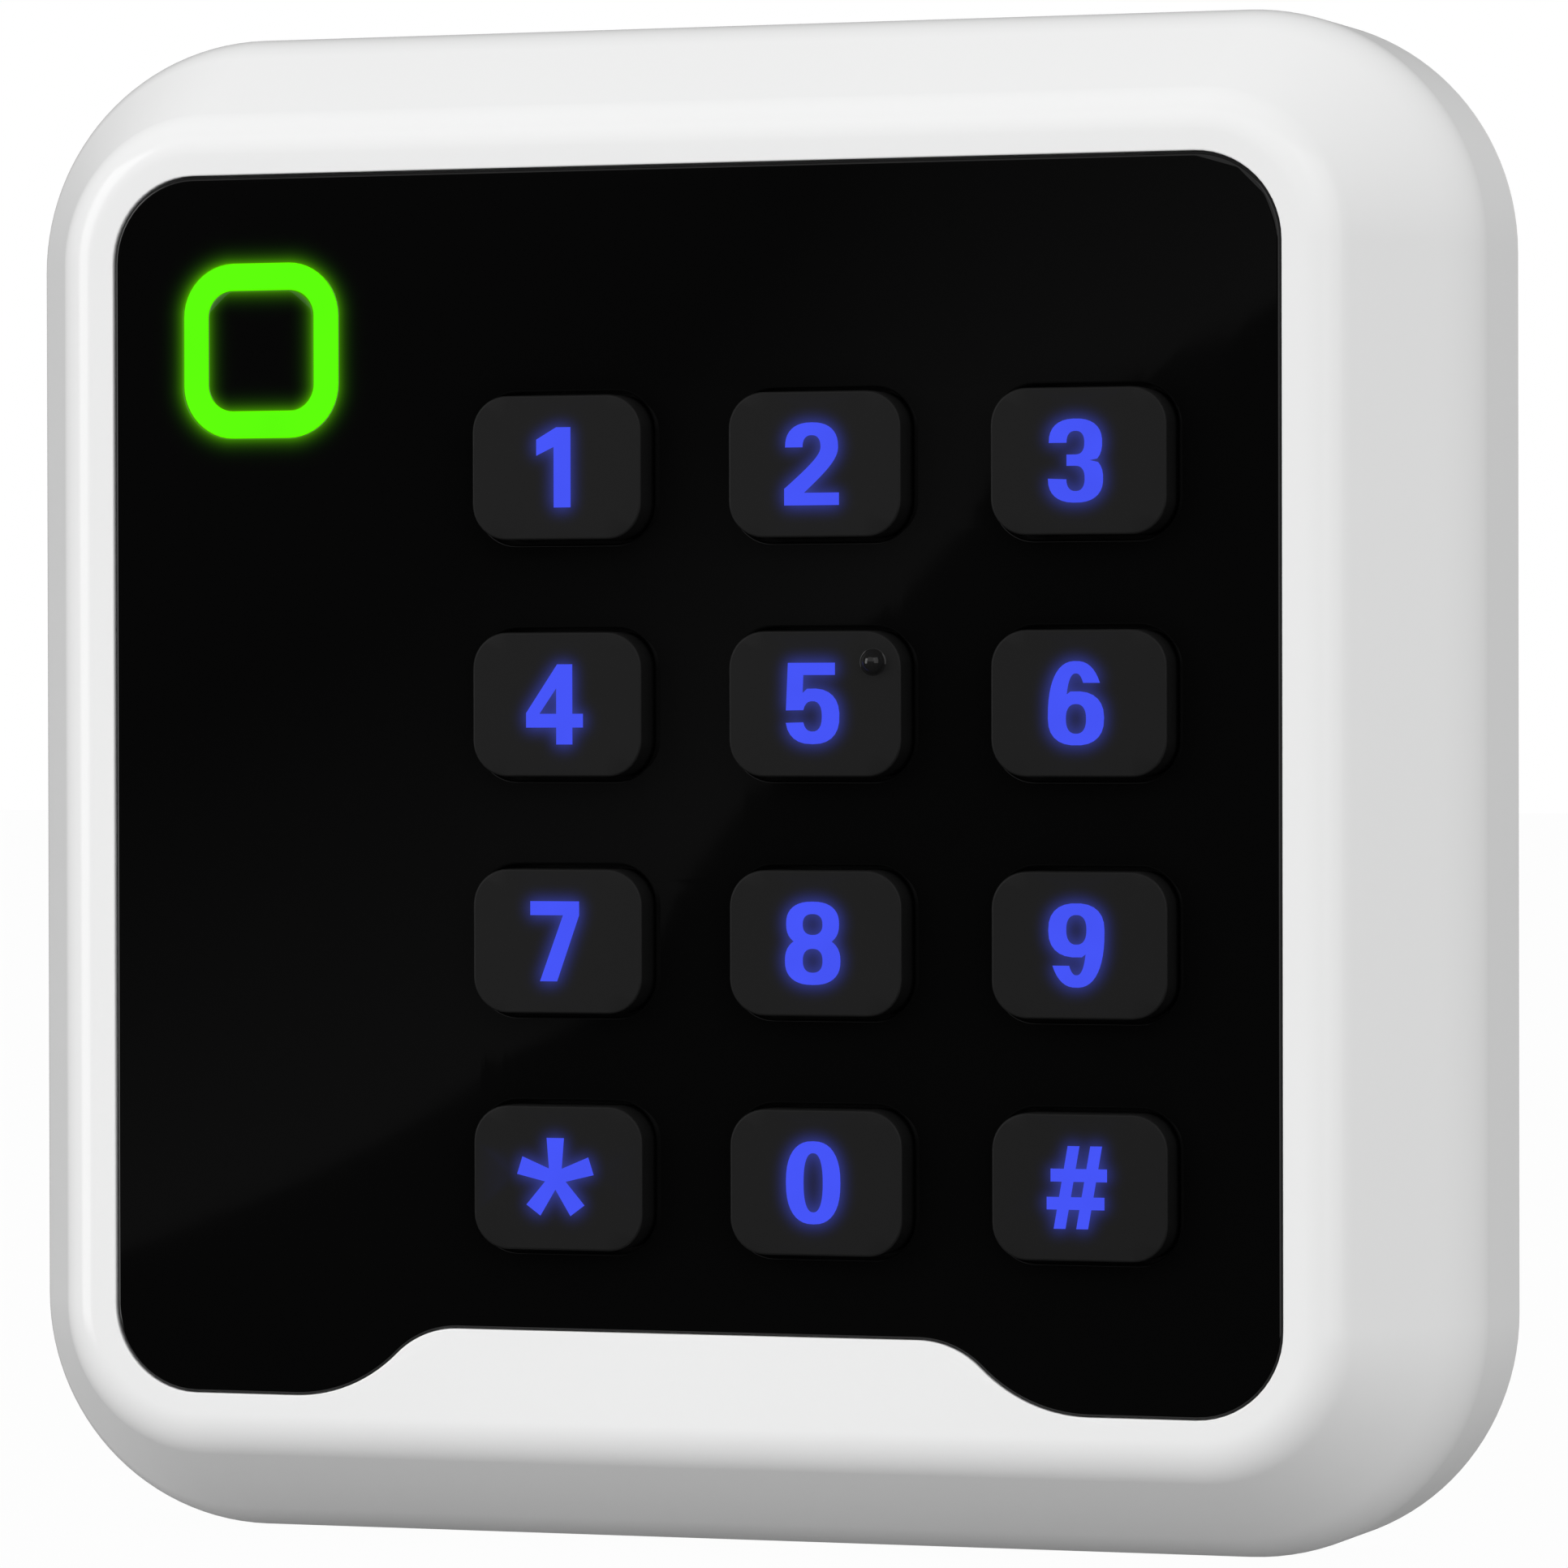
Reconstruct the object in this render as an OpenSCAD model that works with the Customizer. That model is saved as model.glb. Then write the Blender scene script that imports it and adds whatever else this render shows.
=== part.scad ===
// Keypad access reader: a wall unit with twelve keys, a status light ring and a card antenna.
// Origin: centre of the rear face, on the wall. +Z up, +X to the right, the front faces -Y.
// Every piece is drawn lying on its back, with x to the right, y up and z out of the wall,
// and mounted() then stands it up.

/* [Body] */
// Side of the square body
body_side = 115; // [112:0.5:118]
// Depth from the wall to the front rim
body_depth = 24.7; // [24.5:0.1:26]
// Corner radius of the body, seen from the front
body_corner_r = 17.9; // [17:0.1:20]
// Height of the straight side wall above the wall
side_h = 9.35; // [9:0.05:9.6]
// Radius of the rounding between side wall and chamfer
shoulder_r = 11.6; // [10.5:0.1:12]
// Angle of the broad chamfer, from the front plane
chamfer_angle = 57.2; // [56:0.1:59]
// Radius of the rounding between chamfer and front rim
rim_r = 3.86; // [3.4:0.02:4.2]
// Thickness of the cover's side walls
wall_t = 2.4; // [2.2:0.1:2.6]
// Thickness of the cover's front wall
front_t = 3.2; // [3:0.1:3.4]

/* [Fascia] */
// Side of the black fascia
panel_side = 92.26; // [91:0.01:93]
// Corner radius of the fascia
panel_corner_r = 6.6; // [5:0.1:8]
// Thickness of the fascia
panel_t = 1.5; // [1.4:0.05:1.6]
// Gap between the fascia and its pocket
panel_gap = 0.08; // [0.04:0.01:0.15]
// Step down from the rim to the fascia
panel_step = 0.1; // [0.05:0.01:0.15]
// Thickness of the bonding tape behind the fascia
tape_t = 0.2; // [0.1:0.05:0.25]
// Width of the window behind the fascia
window_w = 86; // [85:0.5:87]
// Height of the window behind the fascia
window_h = 80; // [79:0.5:80.5]
// Corner radius of that window
window_corner_r = 8; // [7:0.5:9]
// Half width of the tongue's straight top edge
tongue_half = 18.24; // [16:0.02:20]
// How far the tongue rises into the fascia
tongue_rise = 5.345; // [5:0.005:5.6]
// Radius of the tongue's shoulders
tongue_shoulder_r = 6.95; // [6:0.05:8]
// Radius of the hollows at the tongue's feet
tongue_foot_r = 11.87; // [11:0.01:13]

/* [Keys] */
// Width of a key
key_w = 13.4; // [13:0.1:13.8]
// Height of a key
key_h = 10.74; // [10.4:0.02:11]
// Corner radius of a key
key_corner_r = 2.7; // [2.4:0.1:3]
// Chamfer along the top edge of a key
key_chamfer = 0.25; // [0.2:0.05:0.3]
// Distance between key columns
key_pitch_x = 20.315; // [20:0.005:20.6]
// Distance between key rows
key_pitch_y = 17.62; // [17.4:0.01:17.8]
// Sideways place of the middle column
keys_x = 11.03; // [10.8:0.01:11.2]
// Height of the top row above the centre
keys_top_y = 23.64; // [23.4:0.01:23.8]
// How far a key stands out of the rim plane
key_rise = 2; // [1.8:0.1:2.2]
// Gap between a key and its opening
key_gap = 0.3; // [0.25:0.05:0.4]
// Travel of a key when it is pressed
key_travel = 1.2; // [0.8:0.1:1.2]
// Depth of the legend inlays
legend_t = 0.8; // [0.6:0.1:1]
// Diameter of the raised dot on the middle key
dot_d = 1.75; // [1.5:0.05:2]

/* [Status ring] */
// Sideways place of the ring's centre
ring_x = -34; // [-34.2:0.05:-33.8]
// Height of the ring's centre
ring_y = 32.81; // [32.6:0.01:33]
// Outer width of the ring
ring_w = 12.57; // [12.4:0.01:12.8]
// Outer height of the ring
ring_h = 13.12; // [13:0.01:13.3]
// Width of the lit band
ring_band = 1.95; // [1.8:0.05:2.1]
// Outer corner radius of the ring
ring_corner_r = 4; // [3.6:0.1:4.4]

/* [Wall fixing] */
// Distance between the two side by side wall screws
fixing_x = 60.3; // [60:0.1:61]
// Distance between the two upright wall screws
fixing_y = 83.3; // [83:0.1:84]
// Diameter of the wall screw holes
fixing_d = 4.5; // [4.2:0.1:5]
// Thickness of the rear base plate
base_t = 2.5; // [2.4:0.1:2.8]
// Diameter of the cable hole through the grommet
cable_d = 8; // [6:0.5:9]

/* [Hidden] */
$fn = 64;
LABELS = ["1", "2", "3", "4", "5", "6", "7", "8", "9", "star", "0", "hash"];

// A small amount by which cuts run past a face
cut = 1;

// Body outline, measured from the corner centres
corner_c = body_side / 2 - body_corner_r;
inner_corner_r = body_corner_r - wall_t;
shoulder_c = [body_corner_r - shoulder_r, side_h];
chamfer_end = shoulder_c + shoulder_r * [sin(chamfer_angle), cos(chamfer_angle)];
chamfer_start_z = body_depth - rim_r * (1 - cos(chamfer_angle));
chamfer_start = [chamfer_end.x - (chamfer_start_z - chamfer_end.y) / tan(chamfer_angle), chamfer_start_z];
rim_end = [chamfer_start.x - rim_r * sin(chamfer_angle), body_depth];
rim_c = rim_end - [0, rim_r];

// Heights above the wall
front_back_z = body_depth - front_t;
pocket_z = body_depth - panel_step - panel_t - tape_t;
panel_z = pocket_z + tape_t;
key_top_z = body_depth + key_rise;
lip_top_z = panel_z - 0.45;
lip_t = 1;
lip_out = 0.8;
board_t = 1.6;
board_z = 17.4;
board_top_z = board_z + board_t;
mat_t = 1;
pill_t = 0.5;
pill_z = board_top_z + key_travel + 0.05;
plunger_r = 3.2;
pill_r = 2.5;
web_gap = 0.05;
web_r = 5;
web_t = 0.5;

// Fascia
panel_half = panel_side / 2;
window_y = (window_w - window_h) / 2;
tape_back = 0.3;
// The hollow's circle dips just past the fascia's edge and laps the shoulder's circle, so that
// the outline's arcs cross cleanly and never only touch
foot_dip = 0.02;
foot_lap = 0.002;
tongue_angle = acos(1 - (tongue_rise + foot_dip) / (tongue_shoulder_r + tongue_foot_r));

// Keys
legend_dx = -0.19;
legend_n = 2.4;
arc_steps = 20;
dot_at = [4.55, 3.05];

// Status ring: the guide has a flange behind the fascia
ring_flange = 1;
ring_flange_t = 0.8;
ring_clear = 0.05;
insert_seat = 0.7;

// Board
board_side = 94;
board_corner_r = 8;
boss_at = 42;
boss_r = 3.2;
pilot_r = 1.15;
board_screw_r = 1.1;
coil_side = 88;
coil_w = 3;
coil_t = 1.2;
coil_corner_r = 15;

// Tamper switch
tamper_at = [28, 26];
tamper_body = [8, 8, 5];
tamper_plunger_r = 1.6;

// Terminals
terminal_at = [-2, -31];
terminal_pitch = 3.81;
terminal_count = 8;
terminal_d = 8;
terminal_h = 9.5;

// Rear base
base_gap = 0.3;
base_side = body_side - 2 * wall_t - 2 * base_gap;
base_corner_r = body_corner_r - wall_t - base_gap;
lip_h = 9.5;
base_lip_t = 2.4;
seal_z = 6.8;
seal_h = 1.6;
seal_depth = 1.2;
hook_x = 30;
hook_w = 10;
hook_z = 3.8;
hook_h = 1.4;
hook_out = 1.2;
cover_screw_z = 4.8;
cover_screw_r = 1.4;
cover_head_r = 2.6;
cover_head_t = 1.3;
cover_screw_l = 9;
screw_block = [12, 9];
grommet_r = 8;
grommet_flange_r = 10.5;
grommet_flange_t = 1.4;

// ---- Shapes ----

module mounted() rotate([90, 0, 0]) children();

module rounded_rect(w, h, r) {
    square([w - 2 * r, h], center = true);
    square([w, h - 2 * r], center = true);
    for (x = [-1, 1], y = [-1, 1])
        translate([x * (w / 2 - r), y * (h / 2 - r)]) circle(r);
}

module rounded_block(w, h, r, t) linear_extrude(height = t) rounded_rect(w, h, r);

// A pie slice of a disc, between two directions less than half a turn apart
module slice(r, a0, a1) {
    far = r / cos((a1 - a0) / 2) + cut;
    intersection() {
        circle(r);
        polygon([[0, 0], far * [cos(a0), sin(a0)], far * [cos((a0 + a1) / 2), sin((a0 + a1) / 2)],
                 far * [cos(a1), sin(a1)]]);
    }
}

// A solid block with rounded corners whose edge follows a profile drawn outwards from the corner centre
module edged_block(cx, cy, z0, z1) {
    translate([-cx, -cy, z0]) cube([2 * cx, 2 * cy, z1 - z0]);
    for (q = [0 : 3]) {
        swap = q % 2 == 0;
        ux = swap ? cx : cy;
        uy = swap ? cy : cx;
        rotate([0, 0, 90 * q]) {
            translate([ux, uy, 0]) rotate_extrude(angle = 90) children();
            translate([ux, uy, 0]) rotate([90, 0, 0]) linear_extrude(height = 2 * uy) children();
        }
    }
}

module along_keys(i) {
    translate([keys_x + (i % 3 - 1) * key_pitch_x, keys_top_y - floor(i / 3) * key_pitch_y, 0]) children();
}

module all_keys() for (i = [0 : 11]) along_keys(i) children();

module at_ring() translate([ring_x, ring_y, 0]) children();

module corners(d) for (x = [-1, 1], y = [-1, 1]) translate([x * d, y * d, 0]) children();

// ---- Outlines ----

// The tongue of the cover that rises into the fascia, grown by g all round
module tongue(g) {
    top = -panel_half + tongue_rise + g;
    low = -panel_half - 2;
    r = tongue_shoulder_r + g;
    shoulder_y = top - r;
    bend_y = shoulder_y + r * cos(tongue_angle);
    foot_x = tongue_half + (tongue_shoulder_r + tongue_foot_r) * sin(tongue_angle);
    foot_y = -panel_half - foot_dip + tongue_foot_r;
    translate([-tongue_half, low]) square([2 * tongue_half, top - low]);
    for (side = [0, 1]) mirror([side, 0]) {
        translate([tongue_half, shoulder_y]) circle(r);
        difference() {
            translate([0, low]) square([foot_x, bend_y - low]);
            translate([foot_x, foot_y]) circle(tongue_foot_r + foot_lap - g);
        }
    }
}

module panel_outline(g) {
    difference() {
        rounded_rect(panel_side - 2 * g, panel_side - 2 * g, panel_corner_r - g);
        tongue(g);
    }
}

module key_outline(grow) {
    rounded_rect(key_w + 2 * grow, key_h + 2 * grow, key_corner_r + grow);
}

module ring_outline(grow) {
    rounded_rect(ring_w + 2 * grow, ring_h + 2 * grow, ring_corner_r + grow);
}

module ring_hole(grow) {
    rounded_rect(ring_w - 2 * ring_band + 2 * grow, ring_h - 2 * ring_band + 2 * grow,
                 ring_corner_r - ring_band + grow);
}

// ---- Legends ----

// Point of a squarish oval at angle a
function oval_at(c, r, a) =
    [c.x + r.x * sign(cos(a)) * pow(abs(cos(a)), 2 / legend_n),
     c.y + r.y * sign(sin(a)) * pow(abs(sin(a)), 2 / legend_n)];
// Stretch of a squarish oval
function oval(c, r, a0, a1) =
    [for (i = [0 : arc_steps]) oval_at(c, r, a0 + (a1 - a0) * i / arc_steps)];
// Whole squarish oval
function ring_points(c, r) = [for (i = [0 : 2 * arc_steps - 1]) oval_at(c, r, 180 * i / arc_steps)];
// Angle at which the upper right quarter of an oval reaches a height above its centre
function rise_angle(h, ry) = asin(pow(h / ry, legend_n / 2));
// Cubic curve
function curve(p0, p1, p2, p3) =
    [for (i = [0 : arc_steps]) let (t = i / arc_steps, s = 1 - t)
        s * s * s * p0 + 3 * s * s * t * p1 + 3 * s * t * t * p2 + t * t * t * p3];

digit_top = 2.98;
bowl = [2.12, 0.75];

module glyph_1() polygon([[1.34, digit_top], [1.34, -digit_top], [0, -digit_top], [0, 1.52],
                          [-1.38, 0.88], [-1.38, 2.08], [0.2, digit_top]]);

module glyph_2() {
    c = [0, 1.25];
    polygon(concat(
        oval(c, [2.06, 1.82], 180, 0),
        curve([2.06, 1.25], [2.06, 0.3], [1.02, -0.65], [-0.6, -2.1]),
        [[2.12, -2.1], [2.12, -3.02], [-2.14, -3.02], [-2.14, -1.8]],
        curve([-2.14, -1.8], [-0.17, -0.15], [0.7, 0.65], [0.7, 1.25]),
        oval(c, [0.7, 0.88], 0, 180)));
}

module glyph_3() {
    top = [0, 1.32];
    low = [0, -1.28];
    waist = [1.08, 0.04];
    polygon(concat(
        oval(top, [2.03, 1.75], 180, -38), [waist],
        oval(low, [2.1, 1.76], 38, -180),
        [[-0.7, -1.34]],
        oval(low, [0.7, 0.92], -180, 90),
        [[-0.68, -0.36], [-0.68, 0.46]],
        oval(top, [0.68, 0.86], -90, 180)));
}

module glyph_4() {
    difference() {
        polygon([[0.24, digit_top], [1.44, digit_top], [1.44, -0.7], [2.28, -0.7], [2.28, -1.72],
                 [1.44, -1.72], [1.44, -digit_top], [0.16, -digit_top], [0.16, -1.72], [-2.24, -1.72],
                 [-2.24, -0.64]]);
        polygon([[0.16, 1.2], [0.16, -0.7], [-1.18, -0.7]]);
    }
}

module glyph_5() {
    c = [0.02, -0.92];
    outer = [2.1, 2.05];
    inner = [0.74, 1.12];
    polygon(concat(
        [[-2.04, -0.48], [-1.88, 3.02], [1.78, 3.02], [1.78, 2.12], [-0.68, 2.12], [-0.74, 0.8]],
        oval(c, outer, 98, -170),
        [[-0.72, -1.36]],
        oval(c, inner, -160, 160)));
}

module glyph_6() {
    c = [0, -1.1];
    arm_end = 2.58;
    polygon(concat(
        oval(c, [2.14, 4.17], rise_angle(arm_end, 4.17), 180),
        oval(c, [2.14, 1.97], 180, 458),
        oval(c, [0.78, 3.27], 152, rise_angle(arm_end, 3.27))));
}

module glyph_6_counter() polygon(ring_points([0, -1.14], [0.77, 1.08]));

module glyph_six() difference() { glyph_6(); glyph_6_counter(); }

module glyph_7() polygon([[-1.94, digit_top], [1.94, digit_top], [1.94, 1.94], [0.18, -digit_top],
                          [-1.18, -digit_top], [0.66, 1.94], [-1.94, 1.94]]);

module glyph_8() {
    difference() {
        union() {
            polygon(ring_points([0, 1.42], [2.06, 1.65]));
            polygon(ring_points([0, -1.29], [2.16, 1.77]));
        }
        polygon(ring_points([0, 1.39], [0.77, 0.77]));
        polygon(ring_points([0, -1.28], [0.77, 0.88]));
    }
}

module glyph_0() {
    difference() {
        polygon(ring_points([0, 0], [bowl.x, 3.06]));
        polygon(ring_points([0, 0], [bowl.y, 2.18]));
    }
}

module glyph_star() {
    for (a = [0 : 72 : 359]) rotate(a)
        polygon([[-0.45, 0], [0.45, 0], [0.69, 2.98], [-0.69, 2.98]]);
}

module glyph_hash() {
    lean = 1.08;
    bar = 0.9;
    for (x = [-1.77, -0.05])
        polygon([[x, -3.02], [x + bar, -3.02], [x + bar + lean, 3.02], [x + lean, 3.02]]);
    translate([-2, 0.42]) square([4.3, 0.94]);
    translate([-2.3, -1.62]) square([4.4, 0.92]);
}

module glyph(i) translate([legend_dx, 0]) {
    if (i == 0) glyph_1();
    if (i == 1) glyph_2();
    if (i == 2) glyph_3();
    if (i == 3) glyph_4();
    if (i == 4) glyph_5();
    if (i == 5) glyph_six();
    if (i == 6) glyph_7();
    if (i == 7) glyph_8();
    if (i == 8) rotate(180) glyph_six();
    if (i == 9) glyph_star();
    if (i == 10) glyph_0();
    if (i == 11) glyph_hash();
}

// ---- Front half ----

// Edge of the cover: straight wall, shoulder, chamfer, rounding and flat rim
module cover_edge() {
    polygon([[0, 0], [body_corner_r, 0], [body_corner_r, side_h], chamfer_end, chamfer_start, rim_end,
             [0, body_depth]]);
    translate(shoulder_c) slice(shoulder_r, 0, 90 - chamfer_angle);
    translate(rim_c) slice(rim_r, 90 - chamfer_angle, 90);
}

// Edge of the hollow inside the cover, a wall's thickness inside the outer edge
module hollow_edge() {
    slope_in = wall_t / sin(chamfer_angle);
    front_r = chamfer_start.x - (front_back_z - chamfer_start.y) / tan(chamfer_angle) - slope_in;
    bend_z = front_back_z - (inner_corner_r - front_r) * tan(chamfer_angle);
    polygon([[0, -cut], [inner_corner_r, -cut], [inner_corner_r, bend_z], [front_r, front_back_z],
             [0, front_back_z]]);
}

module front_cover() color("whitesmoke") mounted() {
    difference() {
        edged_block(corner_c, corner_c, 0, body_depth) cover_edge();
        edged_block(corner_c, corner_c, -cut, front_back_z) hollow_edge();
        translate([0, 0, pocket_z]) linear_extrude(height = panel_step + panel_t + tape_t + cut) panel_outline(0);
        translate([0, window_y, front_back_z - cut])
            rounded_block(window_w, window_h, window_corner_r, front_t + cut);
        translate([0, -body_side / 2 + wall_t + cut, cover_screw_z]) rotate([90, 0, 0])
            cylinder(h = wall_t + 2 * cut, r = cover_screw_r + 0.3);
        translate([0, -body_side / 2 + 1.5, cover_screw_z]) rotate([90, 0, 0])
            cylinder(h = 1.5 + cut, r = cover_head_r + 0.3);
    }
    corners(boss_at) translate([0, 0, board_top_z]) difference() {
        cylinder(h = front_back_z - board_top_z, r = boss_r);
        translate([0, 0, -cut]) cylinder(h = front_back_z - board_top_z + cut - 0.2, r = pilot_r);
    }
    for (x = [-1, 1]) translate([x * hook_x - hook_w / 2, body_side / 2 - wall_t - hook_out, hook_z])
        cube([hook_w, hook_out, hook_h]);
}

module fascia_panel() color([0.02, 0.02, 0.02]) mounted() translate([0, 0, panel_z])
    linear_extrude(height = panel_t) difference() {
        panel_outline(panel_gap);
        all_keys() key_outline(key_gap);
        at_ring() ring_outline(ring_clear);
    }

module bonding_tape() color("dimgray") mounted() translate([0, 0, pocket_z])
    linear_extrude(height = tape_t) difference() {
        panel_outline(tape_back);
        translate([0, window_y])
            rounded_rect(window_w + 2 * tape_back, window_h + 2 * tape_back, window_corner_r + tape_back);
    }

module status_ring() color([0.35, 1, 0]) mounted() at_ring() {
    difference() {
        translate([0, 0, panel_z - ring_flange_t]) union() {
            linear_extrude(height = ring_flange_t + panel_t) ring_outline(0);
            linear_extrude(height = ring_flange_t) ring_outline(ring_flange);
        }
        translate([0, 0, panel_z - ring_flange_t - cut])
            linear_extrude(height = ring_flange_t + panel_t + 2 * cut) ring_hole(-insert_seat);
        translate([0, 0, panel_z]) linear_extrude(height = panel_t + cut) ring_hole(0);
    }
}

module ring_insert() color([0.02, 0.02, 0.02]) mounted() at_ring() translate([0, 0, panel_z])
    linear_extrude(height = panel_t) ring_hole(-ring_clear);

module light_shroud() color("white") mounted() at_ring() translate([0, 0, board_top_z])
    linear_extrude(height = panel_z - ring_flange_t - board_top_z) difference() {
        ring_outline(ring_flange);
        ring_outline(0);
    }

module key_edge() {
    polygon([[0, lip_top_z], [key_corner_r, lip_top_z], [key_corner_r, key_top_z - key_chamfer],
             [key_corner_r - key_chamfer, key_top_z], [0, key_top_z]]);
}

module key(i) color([0.12, 0.12, 0.12]) mounted() along_keys(i) {
    difference() {
        union() {
            edged_block(key_w / 2 - key_corner_r, key_h / 2 - key_corner_r, lip_top_z, key_top_z) key_edge();
            translate([0, 0, lip_top_z - lip_t]) linear_extrude(height = lip_t) key_outline(lip_out);
            translate([0, 0, pill_z + pill_t])
                cylinder(h = lip_top_z - lip_t - pill_z - pill_t, r = plunger_r);
        }
        translate([0, 0, key_top_z - legend_t]) linear_extrude(height = legend_t + cut) glyph(i);
    }
    if (LABELS[i] == "5") translate([dot_at.x, dot_at.y, key_top_z]) sphere(d = dot_d);
}

module legend(i) color([0.27, 0.33, 0.97]) mounted() along_keys(i)
    translate([0, 0, key_top_z - legend_t]) linear_extrude(height = legend_t) glyph(i);

module contact_pill(i) color("black") mounted() along_keys(i)
    translate([0, 0, pill_z]) cylinder(h = pill_t, r = pill_r);

// ---- Inside ----

mat_w = 61;
mat_h = 70;
led_dx = -6.6;
led_size = [1.6, 0.8, 0.6];

module keypad_mat() color("lightgray") mounted() translate([0, 0, board_top_z])
    linear_extrude(height = mat_t) difference() {
        translate([keys_x, keys_top_y - 1.5 * key_pitch_y]) rounded_rect(mat_w, mat_h, 3);
        all_keys() circle(web_r);
        all_keys() translate([led_dx, 0]) square([2.6, 1.8], center = true);
    }

// The thin cones round the plungers that give as a key goes down
module mat_webs() color("lightgray") mounted() all_keys() translate([0, 0, board_top_z + mat_t])
    rotate_extrude() polygon([[web_r, -web_t], [web_r, 0], [plunger_r + web_gap, 1.5],
                              [plunger_r + web_gap, 1.5 - web_t]]);

module main_board() color("darkgreen") mounted() translate([0, 0, board_z]) difference() {
    rounded_block(board_side, board_side, board_corner_r, board_t);
    corners(boss_at) translate([0, 0, -cut]) cylinder(h = board_t + 2 * cut, r = board_screw_r + 0.15);
}

module ring_leds() color("honeydew") mounted() at_ring() translate([0, 0, board_top_z])
    for (a = [0 : 90 : 270]) rotate(a) translate([4.4 - 1, -0.6, 0]) cube([2, 1.2, 0.8]);

module key_leds() color("aliceblue") mounted() all_keys()
    translate([led_dx - led_size.x / 2, -led_size.y / 2, board_top_z]) cube(led_size);

module antenna_coil() color("darkgoldenrod") mounted() translate([0, 0, board_z - coil_t])
    linear_extrude(height = coil_t) difference() {
        rounded_rect(coil_side, coil_side, coil_corner_r);
        rounded_rect(coil_side - 2 * coil_w, coil_side - 2 * coil_w, coil_corner_r - coil_w);
    }

// A flat chip with a row of legs on two or four sides, hung under the board
module chip(w, h, t, legs, sides) {
    leg_pitch = w / (legs + 1);
    leg_t = 0.2;
    translate([-w / 2, -h / 2, board_z - t]) cube([w, h, t - 0.1]);
    for (s = [0 : 4 / sides : 3]) rotate(90 * s) for (i = [1 : legs])
        translate([-w / 2 + i * leg_pitch - 0.15, h / 2, board_z - leg_t]) cube([0.3, 0.9, leg_t]);
}

module processor() color([0.1, 0.1, 0.1]) mounted() translate([-14, 12, 0]) chip(10, 10, 1.4, 10, 4);

module support_chips() color([0.13, 0.13, 0.13]) mounted() {
    for (p = [[8, 20], [8, 6], [-32, -8]]) translate([p.x, p.y, 0]) chip(5, 4, 1.5, 4, 2);
    for (p = [[-30, 14], [-30, 24]]) translate([p.x, p.y, board_z - 6]) cylinder(h = 6, r = 3);
    translate([-14, -4, board_z - 3.4]) rounded_block(11, 4.6, 2.2, 3.4);
}

module beeper() color([0.08, 0.08, 0.08]) mounted() translate([27, -6, board_z - 7.5]) difference() {
    cylinder(h = 7.5, r = 6);
    translate([0, 0, -cut]) cylinder(h = 2 + cut, r = 1.2);
}

module tamper_switch() color("black") mounted()
    translate([tamper_at.x, tamper_at.y, board_z - tamper_body.z]) difference() {
        translate([-tamper_body.x / 2, -tamper_body.y / 2, 0]) cube(tamper_body);
        translate([0, 0, -cut]) cylinder(h = tamper_body.z + cut - 0.6, r = tamper_plunger_r + 0.05);
    }

module tamper_plunger() color("red") mounted() translate([tamper_at.x, tamper_at.y, 0])
    cylinder(h = board_z - tamper_body.z + 2.4, r = tamper_plunger_r);

module terminal_block() color("green") mounted() {
    w = terminal_pitch * terminal_count;
    translate([terminal_at.x, terminal_at.y, board_z - terminal_h]) difference() {
        translate([-w / 2, -terminal_d / 2, 0]) cube([w, terminal_d, terminal_h]);
        for (i = [0 : terminal_count - 1]) translate([(i + 0.5) * terminal_pitch - w / 2, 0, 0]) {
            translate([0, 0.8, -cut]) cylinder(h = 4 + cut, r = 1.5);
            translate([-1.3, -terminal_d / 2 - cut, 4.6]) cube([2.6, 3 + cut, 2.8]);
        }
    }
}

module terminal_screws() color("silver") mounted() {
    w = terminal_pitch * terminal_count;
    for (i = [0 : terminal_count - 1])
        translate([terminal_at.x + (i + 0.5) * terminal_pitch - w / 2, terminal_at.y + 0.8,
                   board_z - terminal_h + 1]) difference() {
            cylinder(h = 3, r = 1.45);
            translate([-2, -0.25, -cut]) cube([4, 0.5, 0.6 + cut]);
        }
}

// ---- Rear half ----

module wall_holes(r, z, h) {
    for (s = [-1, 1]) {
        translate([s * fixing_x / 2, 0, z]) cylinder(h = h, r = r);
        translate([0, s * fixing_y / 2, z]) cylinder(h = h, r = r);
    }
}

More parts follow.
